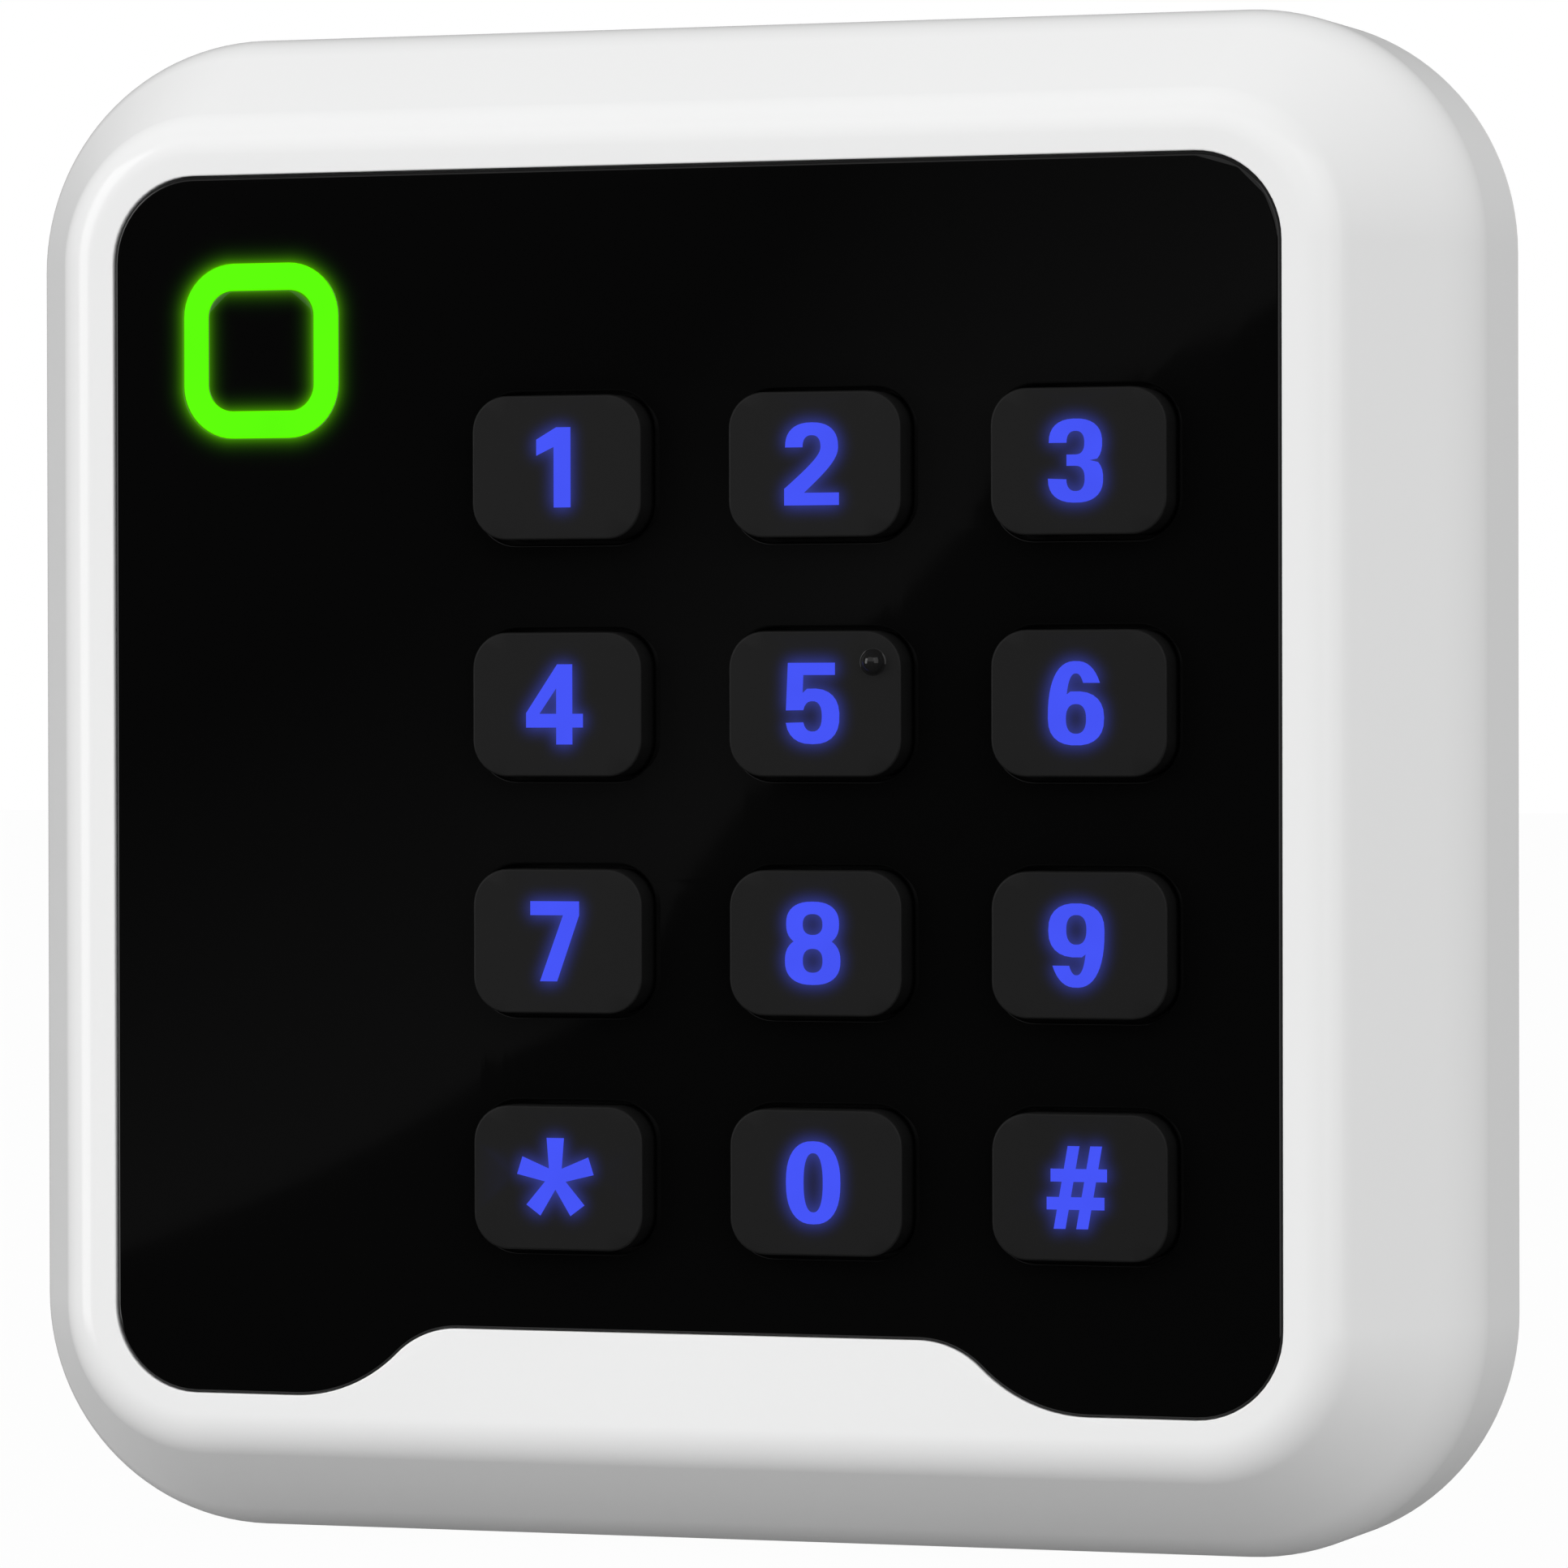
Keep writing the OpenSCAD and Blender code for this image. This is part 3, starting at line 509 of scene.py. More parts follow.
def uneven_light():
    """Light that diodes send through a frosted piece: a little stronger in soft pools."""
    tree, given, result = new_group(
        "uneven light", [("Colour", "Color", (1, 1, 1, 1)), ("Pool scale", "Float", 200),
                         ("Least", "Float", 0.97), ("Most", "Float", 1.03)], [("Colour", "Color")])
    pool = add(tree, "TexNoise")
    pool.inputs["Detail"].default_value = 1
    tree.links.new(add(tree, "TexCoord").outputs["Object"], pool.inputs["Vector"])
    tree.links.new(given.outputs["Pool scale"], pool.inputs["Scale"])
    even = add(tree, "MapRange")
    even.inputs["From Min"].default_value = 0.3
    even.inputs["From Max"].default_value = 0.7
    tree.links.new(given.outputs["Least"], even.inputs["To Min"])
    tree.links.new(given.outputs["Most"], even.inputs["To Max"])
    tree.links.new(pool.outputs["Fac"], even.inputs["Value"])
    tint = add(tree, "VectorMath", operation="SCALE")
    tree.links.new(given.outputs["Colour"], tint.inputs[0])
    tree.links.new(even.outputs["Result"], tint.inputs["Scale"])
    tree.links.new(tint.outputs[0], result.inputs["Colour"])
    return tree


UNEVEN_LIGHT = uneven_light()


def lit_plastic(name, colour, light, specular, roughness, pool_scale, least):
    """A frosted plastic lit from behind: colour is what it is unlit, light is what it gives off."""
    material = bpy.data.materials.new(name)
    material.use_nodes = True
    tree = material.node_tree
    shader = tree.nodes["Principled BSDF"]
    shader.inputs["Base Color"].default_value = (*colour, 1)
    shader.inputs["Specular IOR Level"].default_value = specular
    shader.inputs["Roughness"].default_value = roughness
    shader.inputs["Emission Strength"].default_value = 1
    glow = add(tree, "Group", node_tree=UNEVEN_LIGHT)
    glow.inputs["Colour"].default_value = (*light, 1)
    glow.inputs["Pool scale"].default_value = pool_scale
    glow.inputs["Least"].default_value = least
    tree.links.new(glow.outputs["Colour"], shader.inputs["Emission Color"])
    return material


unlit_green, ring_green = (0.004, 0.02, 0.002), (0.105, 1.0, 0.0)
green_light = lit_plastic("lit green acrylic", unlit_green, ring_green, 0.04, 0.35, 160, 0.96)
tree = green_light.node_tree
frost = add(tree, "TexNoise")
frost.inputs["Scale"].default_value = 900
frost.inputs["Detail"].default_value = 2
tree.links.new(add(tree, "TexCoord").outputs["Object"], frost.inputs["Vector"])
bump = add(tree, "Bump")
bump.inputs["Distance"].default_value = FROST_DEPTH / MM
tree.links.new(frost.outputs["Fac"], bump.inputs["Height"])
tree.links.new(bump.outputs["Normal"], tree.nodes["Principled BSDF"].inputs["Normal"])
dress(guide, green_light, stands_for=["status_ring"])

bm = bmesh.new()
rings = [ring_of(bm, ring_hole(-ISLAND_GAP - g), z) for g, z in eased(FASCIA_TOP_Z, 0.1)]
rings.append(ring_of(bm, ring_hole(-ISLAND_GAP), FASCIA_Z))
skin(bm, rings)
flat(bm, rings[0])
flat(bm, rings[-1])
island = finished(bm, "ring_island")
dress(island, black_gloss, stands_for=["ring_insert"])

# ---- Keys ----
# Twelve caps moulded in dark grey silicone-coated plastic, with a fine rounded top edge, a lip that
# stops them behind the fascia and a round plunger. Each legend is a clear blue inlay lit from
# behind, and its light spreads a little way into the cap. Key 5 has a glossy touch dot.
KEY_TOP_Z = 26.7
LIP_TOP_Z = 22.65
PLUNGER_R = 3.2
GLOW_STEP = 0.13
GLOW_SPREAD = 0.52
GLOW_HALF = (3.9, 4.4)
LIP_T = 1
LIP_OUT = 0.8
PLUNGER_END_Z = 20.75
KEY_EDGE_R = 0.16
DOT_AT = (4.55, 3.05)
DOT_R = 0.875
SINK = 0.015

dark_cap = plastic("dark grey key cap", (0.0085, 0.0085, 0.0085), 0.42, 0.05, 0.06, 0.22, 0.002)
tree = dark_cap.node_tree
shader = tree.nodes["Principled BSDF"]
spread = add(tree, "Attribute", attribute_name="glow")
tint = add(tree, "VectorMath", operation="SCALE")
tint.inputs[0].default_value = (0.027, 0.040, 0.334)
tree.links.new(spread.outputs["Fac"], tint.inputs["Scale"])
tree.links.new(tint.outputs[0], shader.inputs["Emission Color"])
shader.inputs["Emission Strength"].default_value = 1
shader.inputs["Specular IOR Level"].default_value = 0.22


def glow_over(legend, centre):
    """How much of a lit legend's light reaches each point of a fine grid over the key's top."""
    mesh = legend.data
    top = min(v.co.y for v in mesh.vertices)
    lit = [tuple(p.vertices) for p in mesh.polygons
           if all(mesh.vertices[v].co.y < top + 1e-6 for v in p.vertices)]
    tree = BVHTree.FromPolygons([v.co for v in mesh.vertices], lit)
    xs = np.arange(-GLOW_HALF[0], GLOW_HALF[0] + 0.01, GLOW_STEP)
    ys = np.arange(-GLOW_HALF[1], GLOW_HALF[1] + 0.01, GLOW_STEP)
    inside = np.zeros((len(ys), len(xs)))
    for row, y in enumerate(ys):
        for column, x in enumerate(xs):
            point = Vector(((centre[0] + x) / MM, top, (centre[1] + y) / MM))
            inside[row, column] = tree.find_nearest(point)[3] < 1e-6
    reach = int(3 * GLOW_SPREAD / GLOW_STEP)
    weights = np.exp(-0.5 * (np.arange(-reach, reach + 1) * GLOW_STEP / GLOW_SPREAD) ** 2)
    weights /= weights.sum()
    soft = np.apply_along_axis(lambda line: np.convolve(line, weights, "same"), 1, inside)
    soft = np.apply_along_axis(lambda line: np.convolve(line, weights, "same"), 0, soft)
    return xs, ys, soft


def key_cap(i):
    """A key's mesh: cap, lip and plunger, with a fine grid of corners under the legend."""
    bm = bmesh.new()
    glow = bm.verts.layers.float.new("glow")
    cap = [ring_of(bm, key_outline(i, -g), z) for g, z in eased(KEY_TOP_Z - SINK, KEY_EDGE_R, 6)]
    cap += [ring_of(bm, key_outline(i, g), LIP_TOP_Z) for g in (0, LIP_OUT - 0.1)]
    cap += [ring_of(bm, key_outline(i, LIP_OUT), z) for z in (LIP_TOP_Z - 0.1, LIP_TOP_Z - LIP_T)]
    skin(bm, cap)
    plunger = [ring_of(bm, circle(*KEY_AT[i], PLUNGER_R), z) for z in (LIP_TOP_Z - LIP_T, PLUNGER_END_Z)]
    skin(bm, plunger)
    flat(bm, cap[-1], plunger[0])
    flat(bm, plunger[1])
    xs, ys, soft = glow_over(nodes["legend_" + LABELS[i]], KEY_AT[i])
    grid = [ring_of(bm, [(KEY_AT[i][0] + x, KEY_AT[i][1] + y) for x in xs], KEY_TOP_Z - SINK) for y in ys]
    for row, corners in enumerate(grid):
        for column, corner in enumerate(corners):
            corner[glow] = soft[row, column]
    for low, high in zip(grid, grid[1:]):
        for column in range(len(xs) - 1):
            bm.faces.new((low[column], low[column + 1], high[column + 1], high[column]))
    border = grid[0] + [line[-1] for line in grid[1:]] + grid[-1][-2::-1]
    border += [line[0] for line in grid[-2:0:-1]]
    flat(bm, cap[0], border)
    return finished(bm, "keycap_" + LABELS[i])


for i, label in enumerate(LABELS):
    dress(key_cap(i), dark_cap, "button_" + label, ["key_" + label])

bm = bmesh.new()
dot_x, dot_y = KEY_AT[4][0] + DOT_AT[0], KEY_AT[4][1] + DOT_AT[1]
dome = [(DOT_R + 0.14, -SINK), (DOT_R + 0.04, 0.02), (DOT_R, 0.12)]
dome += [(DOT_R * math.cos(a), DOT_R * math.sin(a)) for a in [0.16 + 1.35 * k / 14 for k in range(15)]]
rings = [ring_of(bm, circle(dot_x, dot_y, r, 36), KEY_TOP_Z + h) for r, h in dome]
skin(bm, rings)
flat(bm, rings[-1])
flat(bm, rings[0])
dot = finished(bm, "touch_dot", 60)
dot_gloss = plastic("glossy touch dot", (0.009, 0.009, 0.009), 0.045, 0.05, 0.02, 0.5, 0.0001)
dress(dot, dot_gloss, "button_5")

blue_inlay = lit_plastic("lit blue inlay", (0.004, 0.005, 0.02), (0.053, 0.082, 0.91), 0.1, 0.4, 260, 0.97)
for label in LABELS:
    carry("legend_" + label, blue_inlay)

# ---- Light shroud and ring diodes ----
# A white frame that stands on the board under the status ring and keeps its light to itself, round
# four small diodes: white packages, each with a clear amber window over its chip.
PACKAGE_WHITE = (0.75, 0.76, 0.72, 1)
WINDOW_AMBER = (0.72, 0.62, 0.25, 1)
PACKAGE_GLOSS = 0.35
WINDOW_GLOSS = 0.08

shroud_white = plastic("white shroud plastic", (0.78, 0.78, 0.76), 0.45, 0.04, 0.06, 0.3, 0.003)
carry("light_shroud", shroud_white, 0.1)


def diode_package():
    """A white diode package: its front face is the clear yellowish window over the chip."""
    material = plastic("diode package", PACKAGE_WHITE[:3], PACKAGE_GLOSS, 0.08, 0.06, 0.1, 0.002)
    tree = material.node_tree
    shader = tree.nodes["Principled BSDF"]
    facing = add(tree, "SeparateXYZ")
    tree.links.new(add(tree, "TexCoord").outputs["Normal"], facing.inputs[0])
    window = maths(tree, "GREATER_THAN", maths(tree, "MULTIPLY", facing.outputs["Y"], -1), 0.9)
    shine = add(tree, "Mix", data_type="FLOAT")
    tree.links.new(window, shine.inputs[0])
    shine.inputs[2].default_value = PACKAGE_GLOSS
    shine.inputs[3].default_value = WINDOW_GLOSS
    tree.links.new(shine.outputs[0], shader.inputs["Roughness"])
    tint = add(tree, "Mix", data_type="RGBA")
    tree.links.new(window, tint.inputs[0])
    tint.inputs[6].default_value = PACKAGE_WHITE
    tint.inputs[7].default_value = WINDOW_AMBER
    tree.links.new(tint.outputs[2], shader.inputs["Base Color"])
    return material


diode = diode_package()
carry("ring_leds", diode, 0.08)

# ---- Keypad mat ----
# One sheet of milky silicone rubber, moulded flat, that lies on the board. A thin cone stands round
# each plunger; the real one gives as its key goes down, but here it is built at rest and stays so. A
# carbon pill on each plunger closes the contact on the board. A diode shines up through a hole beside each
# pill.
MAT_TOP_Z = 20
WEB_TOP_Z = 21.5
WEB_SECTION = [(5, 19.5), (5, MAT_TOP_Z), (4.75, 20.3), (4.3, 20.72), (3.85, 21.12), (3.45, 21.42)]
WEB_SECTION += [(3.25, WEB_TOP_Z), (3.25, 21.0), (3.6, 20.7), (4.1, 20.27), (4.6, 19.84)]

silicone = plastic("milky silicone rubber", (0.62, 0.63, 0.63), 0.5, 0.06, 0.08, 0.5, 0.006)
shader = silicone.node_tree.nodes["Principled BSDF"]
shader.inputs["Subsurface Weight"].default_value = 0.3
shader.inputs["Subsurface Scale"].default_value = 0.001
carry("keypad_mat", silicone, 0.15)
for i, label in enumerate(LABELS):
    bm = bmesh.new()
    x, y = KEY_AT[i]
    rings = [ring_of(bm, circle(x, y, r, 40), z) for r, z in WEB_SECTION]
    skin(bm, rings + rings[:1])
    web = finished(bm, "web_" + label, 60)
    dress(web, silicone, None, ["mat_webs"])
    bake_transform(web)
carbon = plastic("carbon pill", (0.018, 0.018, 0.02), 0.7, 0.2, 0.1, 0.15, 0.01)
for label in LABELS:
    carry("contact_pill_" + label, carbon, 0.08)
carry("key_leds", diode, 0.06)

# ---- Main board ----
# A glass-fibre board under green solder mask. The tracks show through the mask as lighter lines,
# with small tinned rings where they go through the board.
BOARD_Z = 17.4
TRACK_PITCH = 1.27
VIA_PITCH = 5.08
VIA_R = 0.45
VIA_HOLE_R = 0.2
TRACK_HALF_SHARE = 0.14
TRACK_GREEN = (0.03, 0.2, 0.05, 1)
TIN_GREY = (0.66, 0.65, 0.62, 1)
# Painted shade: black stands in for the dark bore of each via hole, which is not modelled.
HOLE_PAINTED_SHADE = (0, 0, 0, 1)
TRACK_HEIGHT = 0.03


def board_pattern():
    """Masks for the board: tracks that run in steps, and tinned rings on a loose grid."""
    tree, given, result = new_group(
        "board pattern", [("Track pitch", "Float", TRACK_PITCH), ("Via pitch", "Float", VIA_PITCH)],
        [("Track", "Float"), ("Tin", "Float"), ("Hole", "Float")])
    place = add(tree, "SeparateXYZ")
    tree.links.new(add(tree, "TexCoord").outputs["Object"], place.inputs[0])
    x = maths(tree, "MULTIPLY", place.outputs["X"], MM)
    z = maths(tree, "MULTIPLY", place.outputs["Z"], MM)
    cells = add(tree, "TexVoronoi", distance="MANHATTAN")
    cells.inputs["Scale"].default_value = 55
    tree.links.new(add(tree, "TexCoord").outputs["Object"], cells.inputs["Vector"])
    region = add(tree, "SeparateColor")
    tree.links.new(cells.outputs["Color"], region.inputs[0])
    upright = maths(tree, "GREATER_THAN", region.outputs["Red"], 0.5)
    across = add(tree, "Mix", data_type="FLOAT")
    tree.links.new(upright, across.inputs[0])
    tree.links.new(x, across.inputs[2])
    tree.links.new(z, across.inputs[3])
    step = maths(tree, "DIVIDE", across.outputs[0], given.outputs["Track pitch"])
    phase = maths(tree, "ABSOLUTE", maths(tree, "SUBTRACT", maths(tree, "FRACT", step), 0.5))
    line = maths(tree, "LESS_THAN", phase, TRACK_HALF_SHARE)
    used = maths(tree, "GREATER_THAN", region.outputs["Green"], 0.35)
    tree.links.new(maths(tree, "MULTIPLY", line, used), result.inputs["Track"])
    half = maths(tree, "DIVIDE", given.outputs["Via pitch"], 2)
    centre_x = maths(tree, "PINGPONG", x, half)
    centre_z = maths(tree, "PINGPONG", z, half)
    away = length(tree, centre_x, centre_z)
    kept = maths(tree, "GREATER_THAN", region.outputs["Blue"], 0.45)
    hole = maths(tree, "MULTIPLY", maths(tree, "LESS_THAN", away, VIA_HOLE_R), kept)
    tin = maths(tree, "MULTIPLY", maths(tree, "LESS_THAN", away, VIA_R), kept)
    tree.links.new(hole, result.inputs["Hole"])
    tree.links.new(maths(tree, "SUBTRACT", tin, hole), result.inputs["Tin"])
    return tree


def solder_mask(pattern):
    """The board's material: green mask over tracks, tinned rings, and black painted shade where their
    holes are.
    """
    material = plastic("green solder mask", (0.012, 0.11, 0.03), 0.25, 0.1, 0.08, 0.35, 0.002)
    tree = material.node_tree
    shader = tree.nodes["Principled BSDF"]
    colour = surface_of(material).outputs["Colour"]
    masks = add(tree, "Group", node_tree=pattern)
    for mask, paint in (("Track", TRACK_GREEN), ("Tin", TIN_GREY), ("Hole", HOLE_PAINTED_SHADE)):
        over = add(tree, "Mix", data_type="RGBA")
        tree.links.new(masks.outputs[mask], over.inputs[0])
        tree.links.new(colour, over.inputs[6])
        over.inputs[7].default_value = paint
        colour = over.outputs[2]
    tree.links.new(colour, shader.inputs["Base Color"])
    tree.links.new(masks.outputs["Tin"], shader.inputs["Metallic"])
    raised = add(tree, "Bump")
    raised.inputs["Distance"].default_value = TRACK_HEIGHT / MM
    metal_under = maths(tree, "MAXIMUM", masks.outputs["Track"], masks.outputs["Tin"])
    height = maths(tree, "SUBTRACT", metal_under, masks.outputs["Hole"])
    tree.links.new(height, raised.inputs["Height"])
    tree.links.new(raised.outputs["Normal"], shader.inputs["Normal"])
    return material


carry("main_board", solder_mask(board_pattern()), 0.08)

# ---- Antenna coil ----
# The card antenna along the board's edge: three layers of eight turns of enamelled copper wire,
# wound on a former, bonded by its own lacquer and glued flat to the back of the board.
COIL_SIDE = 88
COIL_CORNER_R = 15
COIL_LAYERS = 3
COIL_TURNS = 8
WIRE_D = 0.375
LAYER_PITCH = 0.4

bm = bmesh.new()
for layer in range(COIL_LAYERS):
    wire_z = BOARD_Z - LAYER_PITCH * (layer + 0.5)
    for turn in range(COIL_TURNS):
        rings = []
        for dx, dz in circle(0, 0, WIRE_D / 2, 8):
            inset = WIRE_D * (turn + 0.5) + dx
            side = COIL_SIDE - 2 * inset
            rings.append(ring_of(bm, rounded(side, side, COIL_CORNER_R - inset, 7), wire_z + dz))
        skin(bm, rings + rings[:1])
coil = finished(bm, "coil_windings", 80)


def metal(name, colour, gloss, drift=0.05, smears=0.1, grain=0.2, relief=0.001):
    """A bare or plated metal, with the same drift, smears and grain as the plastics."""
    material = plastic(name, colour, gloss, drift, smears, grain, relief)
    material.node_tree.nodes["Principled BSDF"].inputs["Metallic"].default_value = 1
    return material


enamelled = metal("enamelled copper wire", (0.72, 0.27, 0.09), 0.28, 0.15, 0.1, 0.6, 0.004)
enamelled.node_tree.nodes["Principled BSDF"].inputs["Coat Weight"].default_value = 0.6
dress(coil, enamelled, stands_for=["antenna_coil"])

# ---- Chips and small parts ----
# The processor, the support chips and the reader chip's crystal hang under the board on tinned
# legs, with two capacitors. The beeper is a round black case with one sound hole.
LEG_T = 0.21
CRYSTAL_AT = (-14, -4)
CRYSTAL_REACH = 6


def legged(name, colour, with_crystal=False):
    """A black moulded case whose legs, next to the board, are tinned, as the crystal's can is."""
    material = plastic(name, colour, 0.5, 0.1, 0.08, 0.12, 0.004)
    tree = material.node_tree
    shader = tree.nodes["Principled BSDF"]
    surface = surface_of(material)
    place = add(tree, "SeparateXYZ")
    tree.links.new(add(tree, "TexCoord").outputs["Object"], place.inputs[0])
    legs = maths(tree, "LESS_THAN", place.outputs["Y"], (LEG_T - BOARD_Z) / MM)
    if with_crystal:
        off_x = maths(tree, "MULTIPLY_ADD", place.outputs["X"], MM, -CRYSTAL_AT[0])
        off_z = maths(tree, "MULTIPLY_ADD", place.outputs["Z"], MM, -CRYSTAL_AT[1])
        away = length(tree, off_x, off_z)
        legs = maths(tree, "MAXIMUM", legs, maths(tree, "LESS_THAN", away, CRYSTAL_REACH))
    over = add(tree, "Mix", data_type="RGBA")
    tree.links.new(legs, over.inputs[0])
    tree.links.new(surface.outputs["Colour"], over.inputs[6])
    over.inputs[7].default_value = (0.6, 0.6, 0.58, 1)
    tree.links.new(over.outputs[2], shader.inputs["Base Color"])
    tree.links.new(legs, shader.inputs["Metallic"])
    return material


carry("processor", legged("processor case", (0.018, 0.018, 0.019)), 0.05)
carry("support_chips", legged("chip case", (0.024, 0.024, 0.026), True), 0.05)
carry("beeper", plastic("beeper case", (0.014, 0.014, 0.015), 0.35, 0.08, 0.08, 0.25, 0.006), 0.25)

# ---- Tamper switch ----
# A snap switch on the back of the board. Its sprung plunger runs through a guide in the rear base
# and rests on the wall, so that the unit knows when it is pulled off.
carry("tamper_switch", plastic("switch case", (0.02, 0.02, 0.022), 0.45, 0.08, 0.08, 0.25, 0.006), 0.15)
carry("tamper_plunger", plastic("red plunger", (0.42, 0.022, 0.018), 0.3, 0.06, 0.06, 0.4, 0.003), 0.2)

# ---- Terminal block ----
# Eight screw clamps in a green moulded block, soldered to the board, with plated slotted screws.
# The wires from the wall go into its side.
terminal_green = plastic("green terminal plastic", (0.02, 0.2, 0.06), 0.4, 0.05, 0.06, 0.3, 0.005)
carry("terminal_block", terminal_green, 0.12)
plated = metal("plated steel", (0.62, 0.61, 0.6), 0.28)
carry("terminal_screws", plated, 0.06)
carry("board_screws", plated, 0.06)

# ---- Rear base ----
# A light grey moulded tray that closes the back: wall screw holes in bosses, the cable hole in the
# middle, four shallow pockets with stiffening ribs, and a lip with a groove for the seal.
PIN_PITCH = 30
PIN_R = 2.2
PIN_STEP = 0.12
PIN_EDGE = 0.35
RIB_PITCH = 4
RIB_HALF_L = 10
RIB_HALF_W = 0.4
RIB_LOW = 0.15
RIB_HIGH = 0.85
POCKET_AT = 21


def pin_marks():
    """Round marks on an even grid, where the mould's pins pushed the tray out."""
    tree, given, result = new_group(
        "pin marks", [("Pitch", "Float", PIN_PITCH), ("Radius", "Float", PIN_R)],
        [("Height", "Float"), ("Mark", "Float")])
    place = add(tree, "SeparateXYZ")
    tree.links.new(add(tree, "TexCoord").outputs["Object"], place.inputs[0])
    half = maths(tree, "DIVIDE", given.outputs["Pitch"], 2)
    steps = []
    for axis in ("X", "Z"):
        along = maths(tree, "MULTIPLY_ADD", place.outputs[axis], MM, half)
        steps.append(maths(tree, "PINGPONG", along, half))
    away = length(tree, *steps)
    past = maths(tree, "DIVIDE", maths(tree, "SUBTRACT", away, given.outputs["Radius"]), PIN_EDGE)
    height = maths(tree, "ADD", past, 0.5, clamp=True)
    tree.links.new(height, result.inputs["Height"])
    tree.links.new(maths(tree, "SUBTRACT", 1, height), result.inputs["Mark"])
    return tree


grey_base = plastic("light grey base", (0.42, 0.42, 0.415), 0.48, 0.05, 0.08, 0.5, 0.012)
tree = grey_base.node_tree
shader = tree.nodes["Principled BSDF"]
surface = surface_of(grey_base)
grain = next(node for node in tree.nodes if node.bl_idname == "ShaderNodeBump")
marks = add(tree, "Group", node_tree=pin_marks())
pushed = add(tree, "Bump")
pushed.inputs["Distance"].default_value = PIN_STEP / MM
tree.links.new(marks.outputs["Height"], pushed.inputs["Height"])
tree.links.new(grain.outputs["Normal"], pushed.inputs["Normal"])
tree.links.new(pushed.outputs["Normal"], shader.inputs["Normal"])
shine = maths(tree, "MULTIPLY_ADD", marks.outputs["Mark"], -0.16, surface.outputs["Roughness"])
tree.links.new(shine, shader.inputs["Roughness"])
lighter = maths(tree, "MULTIPLY_ADD", marks.outputs["Mark"], 0.05, 1)
tint = add(tree, "VectorMath", operation="SCALE")
tree.links.new(surface.outputs["Colour"], tint.inputs[0])
tree.links.new(lighter, tint.inputs["Scale"])
tree.links.new(tint.outputs[0], shader.inputs["Base Color"])
carry("rear_base", grey_base, 0.2)

bm = bmesh.new()
for pocket_x in (-POCKET_AT, POCKET_AT):
    for pocket_y in (-POCKET_AT, POCKET_AT):
        for rib in range(-2, 3):
            if (pocket_x, pocket_y, rib) == (POCKET_AT, POCKET_AT, 1):
                continue  # the tamper plunger comes out here
            y = pocket_y + RIB_PITCH * rib
            low = (pocket_x - RIB_HALF_L, y - RIB_HALF_W, RIB_LOW)
            block(bm, low, (pocket_x + RIB_HALF_L, y + RIB_HALF_W, RIB_HIGH), 0.15)
ribs = finished(bm, "base_ribs")
dress(ribs, grey_base)

# ---- Seal and grommet ----
# A cord of soft black rubber lies in the base's groove and touches the cover all round. The cable
# grommet is moulded from the same rubber and snaps into the hole in the base.
seal_rubber = plastic("soft black rubber", (0.022, 0.022, 0.022), 0.62, 0.12, 0.1, 0.25, 0.008)
carry("base_seal", seal_rubber, 0.1)
carry("cable_grommet", seal_rubber, 0.15)

# ---- Cover screw ----
# One plated steel screw with a hexagon socket comes up through the cover's lower wall into the
# block on the base.
carry("cover_screw", plated, 0.08)

# ---- Studio ----
# The unit stands on its lower edge on a plain pale floor, in soft white light: a wide panel in
# front and above, and weaker ones round it. A dim card with a curved edge mirrors in the fascia.
FLOOR_WHITE = 0.97
FLOOR_BOUNCE = 0.15
AIR = 0.97
AIR_RIGHT = -0.08
GLOSS_BEHIND = 0.25
# Name, azimuth and elevation in degrees, distance, width and height in metres, radiance
SOFTBOXES = [
    ("front panel", -5, 27, 1.3, 1.7, 0.95, 0.5),
    ("front left panel", -52, 10, 1.2, 0.5, 0.9, 2.4),
    ("front right panel", 35, 14, 1.2, 0.6, 0.9, 0.14),
    ("right panel", 50, 18, 1.2, 0.9, 1.2, 0.68),
]
LOW_LAMP = ("low lamp", -4, -20, 0.13, 0.08, 0.02, 2.5)
CARD_Y = -1.2
CARD_CORNERS = ((-0.66, -0.22), (-0.2, -0.22), (-0.2, 0.16), (-0.66, 0.16))
CARD_GLOW = 0.06
CARD_FADE = 0.12
EDGE_SLOPE = 0.322
EDGE_Z = 0.1263
EDGE_BEND = 0.0639
EDGE_X = -0.4076
EDGE_W = 0.0661
CAMERA_AT = (0.207708, -0.59054, 0.005871)
CAMERA_TURN = 19.446
CAMERA_TILT = 90 - 0.5508
CAMERA_ROLL = -0.0022
LENS = 186.46


def emission_only(name, strength):
    """A material that only gives off light. strength makes the nodes that say how much."""
    material = bpy.data.materials.new(name)
    material.use_nodes = True
    tree = material.node_tree
    tree.nodes.remove(tree.nodes["Principled BSDF"])
    lit = add(tree, "Emission")
    tree.links.new(strength(tree), lit.inputs["Strength"])
    tree.links.new(lit.outputs[0], tree.nodes["Material Output"].inputs["Surface"])
    return material


def staged(bm, name):
    """A piece of the studio, which is no part of the unit."""
    mesh = bpy.data.meshes.new(name)
    bm.to_mesh(mesh)
    bm.free()
    piece = bpy.data.objects.new(name, mesh)
    bpy.context.scene.collection.objects.link(piece)
    return piece


def softbox(name, azimuth, elevation, distance, width, height, radiance):
    """A soft light panel that faces the unit, at an azimuth and an elevation seen from it."""
    data = bpy.data.lights.new(name, "AREA")
    data.shape = "RECTANGLE"
    data.size = width
    data.size_y = height
    data.energy = radiance * math.pi * width * height
    lamp = bpy.data.objects.new(name, data)
    bpy.context.scene.collection.objects.link(lamp)
    a, e = math.radians(azimuth), math.radians(elevation)
    at = Vector((math.sin(a) * math.cos(e), -math.cos(a) * math.cos(e), math.sin(e))) * distance
    lamp.matrix_world = Matrix.Translation(at) @ at.to_track_quat("Z", "Y").to_matrix().to_4x4()
    lamp.visible_camera = False
    return lamp


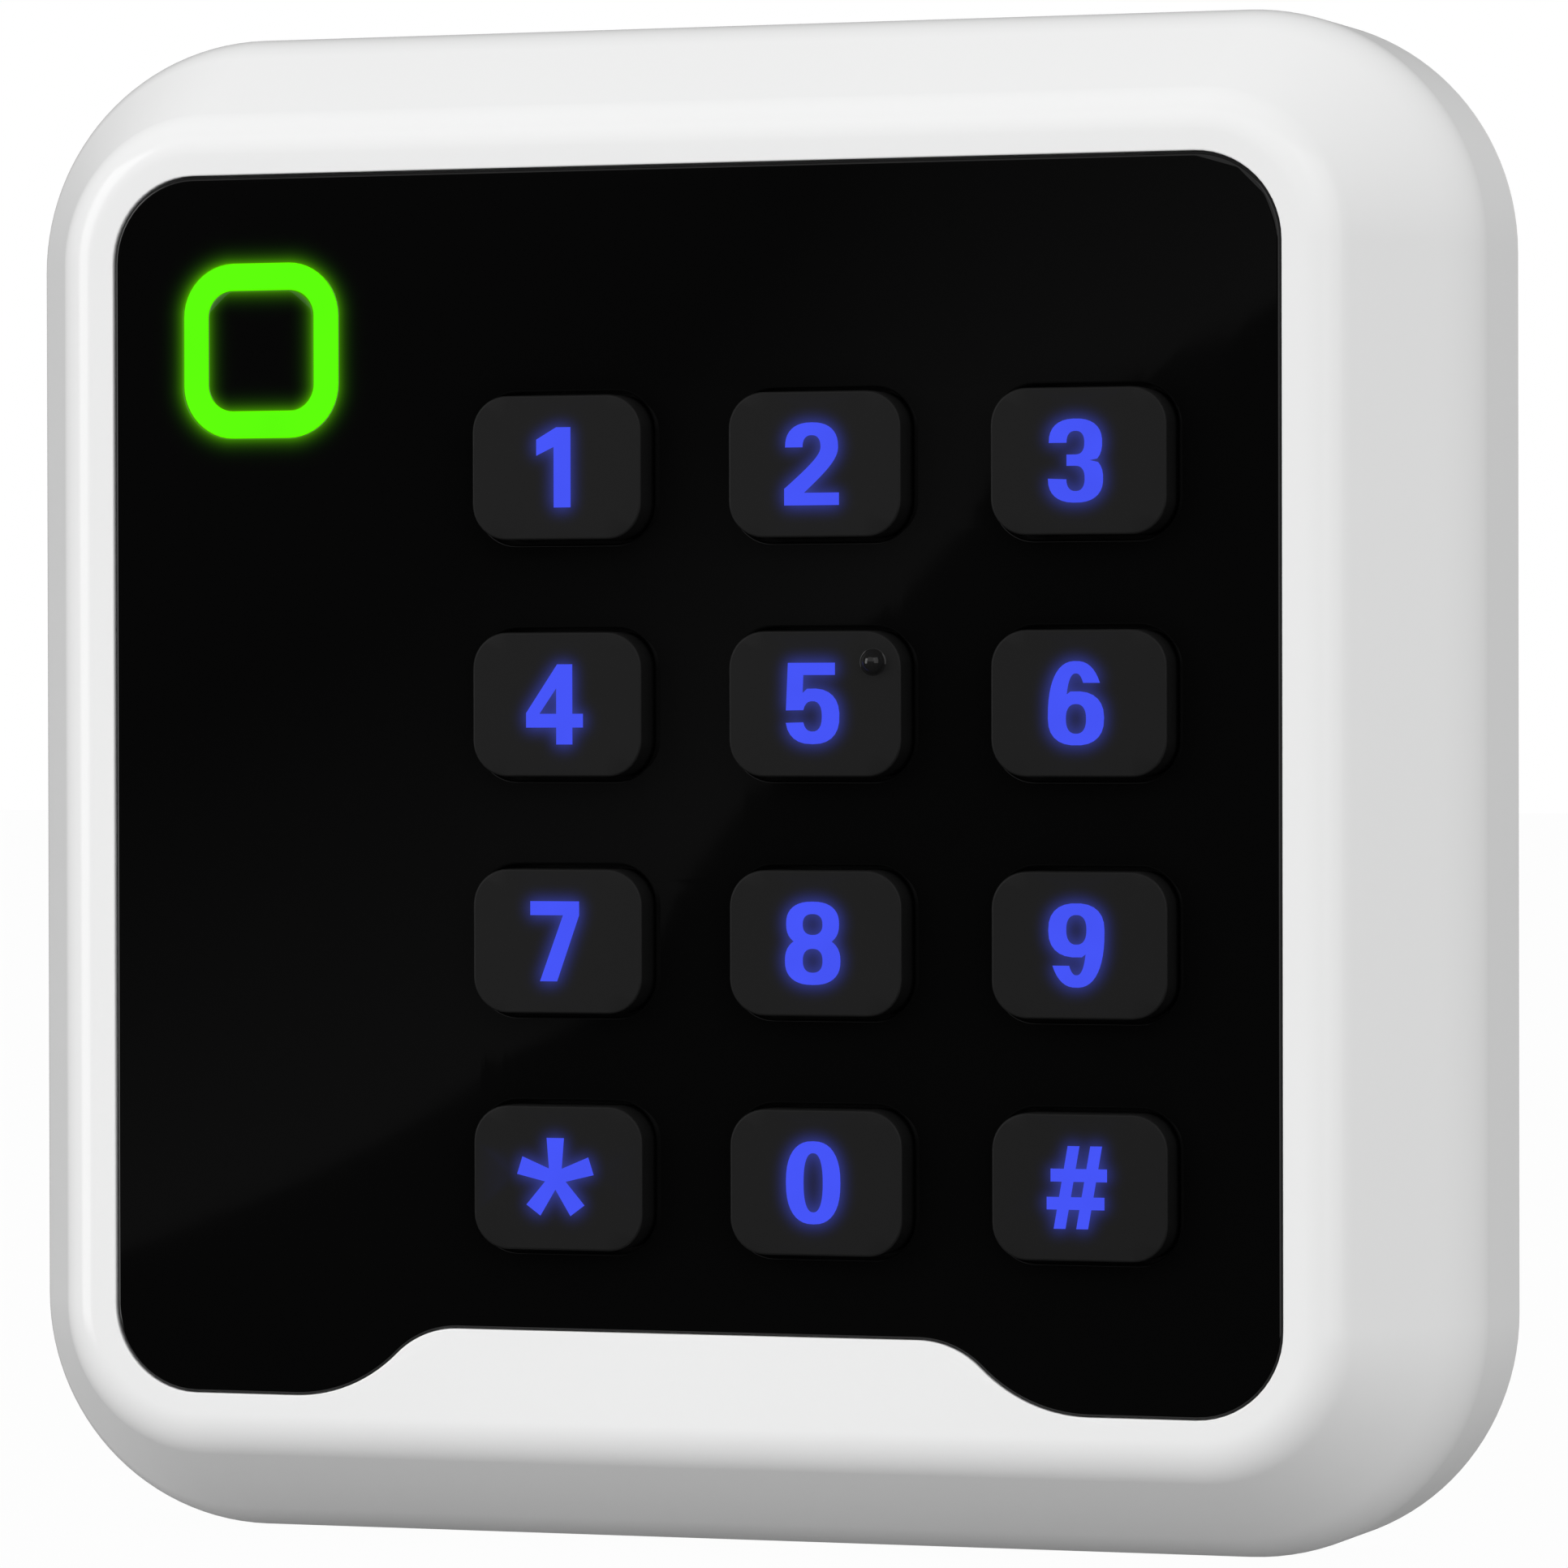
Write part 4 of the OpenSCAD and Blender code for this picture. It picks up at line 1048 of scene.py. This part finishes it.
bpy.context.scene.view_settings.view_transform = "Standard"
for panel in SOFTBOXES:
    softbox(*panel)
softbox(*LOW_LAMP).visible_glossy = False

bm = bmesh.new()
standing_on = Matrix.Translation((0, 0, -SIDE / 2 / MM))
bmesh.ops.create_grid(bm, x_segments=8, y_segments=8, size=4, matrix=standing_on)
floor = staged(bm, "studio_floor")
floor.visible_glossy = False
pale = bpy.data.materials.new("pale floor")
pale.use_nodes = True
tree = pale.node_tree
shader = tree.nodes["Principled BSDF"]
shader.inputs["Base Color"].default_value = (0.3, 0.3, 0.3, 1)
shader.inputs["Roughness"].default_value = 0.9
shader.inputs["Specular IOR Level"].default_value = 0
shader.inputs["Emission Color"].default_value = (1, 1, 1, 1)
shader.inputs["Emission Strength"].default_value = FLOOR_BOUNCE
lit = add(tree, "Emission")
blend = add(tree, "MixShader")
seen = maths(tree, "MULTIPLY", add(tree, "LightPath").outputs["Is Camera Ray"], FLOOR_WHITE)
tree.links.new(seen, blend.inputs[0])
tree.links.new(shader.outputs[0], blend.inputs[1])
tree.links.new(lit.outputs[0], blend.inputs[2])
tree.links.new(blend.outputs[0], tree.nodes["Material Output"].inputs["Surface"])
floor.data.materials.append(pale)


def card_glow(tree):
    """The card's light: brightest beside its curved edge, fading away from it, none below it."""
    place = add(tree, "SeparateXYZ")
    tree.links.new(add(tree, "TexCoord").outputs["Object"], place.inputs[0])
    across = maths(tree, "MULTIPLY_ADD", place.outputs["X"], 1 / EDGE_W, -EDGE_X / EDGE_W)
    bend = maths(tree, "TANH", across)
    edge = maths(tree, "MULTIPLY_ADD", place.outputs["X"], EDGE_SLOPE, EDGE_Z)
    edge = maths(tree, "MULTIPLY_ADD", bend, EDGE_BEND, edge)
    above = maths(tree, "SUBTRACT", place.outputs["Z"], edge)
    fade = maths(tree, "SUBTRACT", 1, maths(tree, "DIVIDE", above, CARD_FADE), clamp=True)
    lit = maths(tree, "MULTIPLY", fade, maths(tree, "GREATER_THAN", above, 0))
    return maths(tree, "MULTIPLY", lit, CARD_GLOW)


bm = bmesh.new()
bm.faces.new([bm.verts.new((x, CARD_Y, z)) for x, z in CARD_CORNERS])
card = staged(bm, "studio_card")
card.visible_camera = False
card.visible_diffuse = False
card.visible_shadow = False
card.data.materials.append(emission_only("dim card", card_glow))

world = bpy.data.worlds.new("studio air")
bpy.context.scene.world = world
world.use_nodes = True
tree = world.node_tree
towards = add(tree, "SeparateXYZ")
tree.links.new(add(tree, "TexCoord").outputs["Generated"], towards.inputs[0])
back = add(tree, "MapRange", interpolation_type="SMOOTHSTEP")
back.inputs["From Min"].default_value = 0.1
back.inputs["From Max"].default_value = 0.8
back.inputs["To Max"].default_value = GLOSS_BEHIND
tree.links.new(towards.outputs["Y"], back.inputs["Value"])
right = maths(tree, "MAXIMUM", towards.outputs["X"], 0)
air = maths(tree, "MULTIPLY_ADD", right, AIR_RIGHT, AIR)
path = add(tree, "LightPath")
soft = add(tree, "Mix", data_type="FLOAT")
tree.links.new(path.outputs["Is Glossy Ray"], soft.inputs[0])
tree.links.new(air, soft.inputs[2])
tree.links.new(back.outputs["Result"], soft.inputs[3])
shown = add(tree, "Mix", data_type="FLOAT")
tree.links.new(path.outputs["Is Camera Ray"], shown.inputs[0])
tree.links.new(soft.outputs[0], shown.inputs[2])
shown.inputs[3].default_value = 1
tree.links.new(shown.outputs[0], tree.nodes["Background"].inputs["Strength"])
tree.nodes["Background"].inputs["Color"].default_value = (1, 1, 1, 1)

camera_data = bpy.data.cameras.new("studio camera")
camera_data.lens = LENS
camera_data.sensor_width = 36
camera_data.clip_end = 20
camera = bpy.data.objects.new("studio camera", camera_data)
bpy.context.scene.collection.objects.link(camera)
turn = Matrix.Rotation(math.radians(CAMERA_TURN), 4, "Z")
tilt = Matrix.Rotation(math.radians(CAMERA_TILT), 4, "X")
roll = Matrix.Rotation(CAMERA_ROLL, 4, "Z")
camera.matrix_world = Matrix.Translation(CAMERA_AT) @ turn @ tilt @ roll
bpy.context.scene.camera = camera
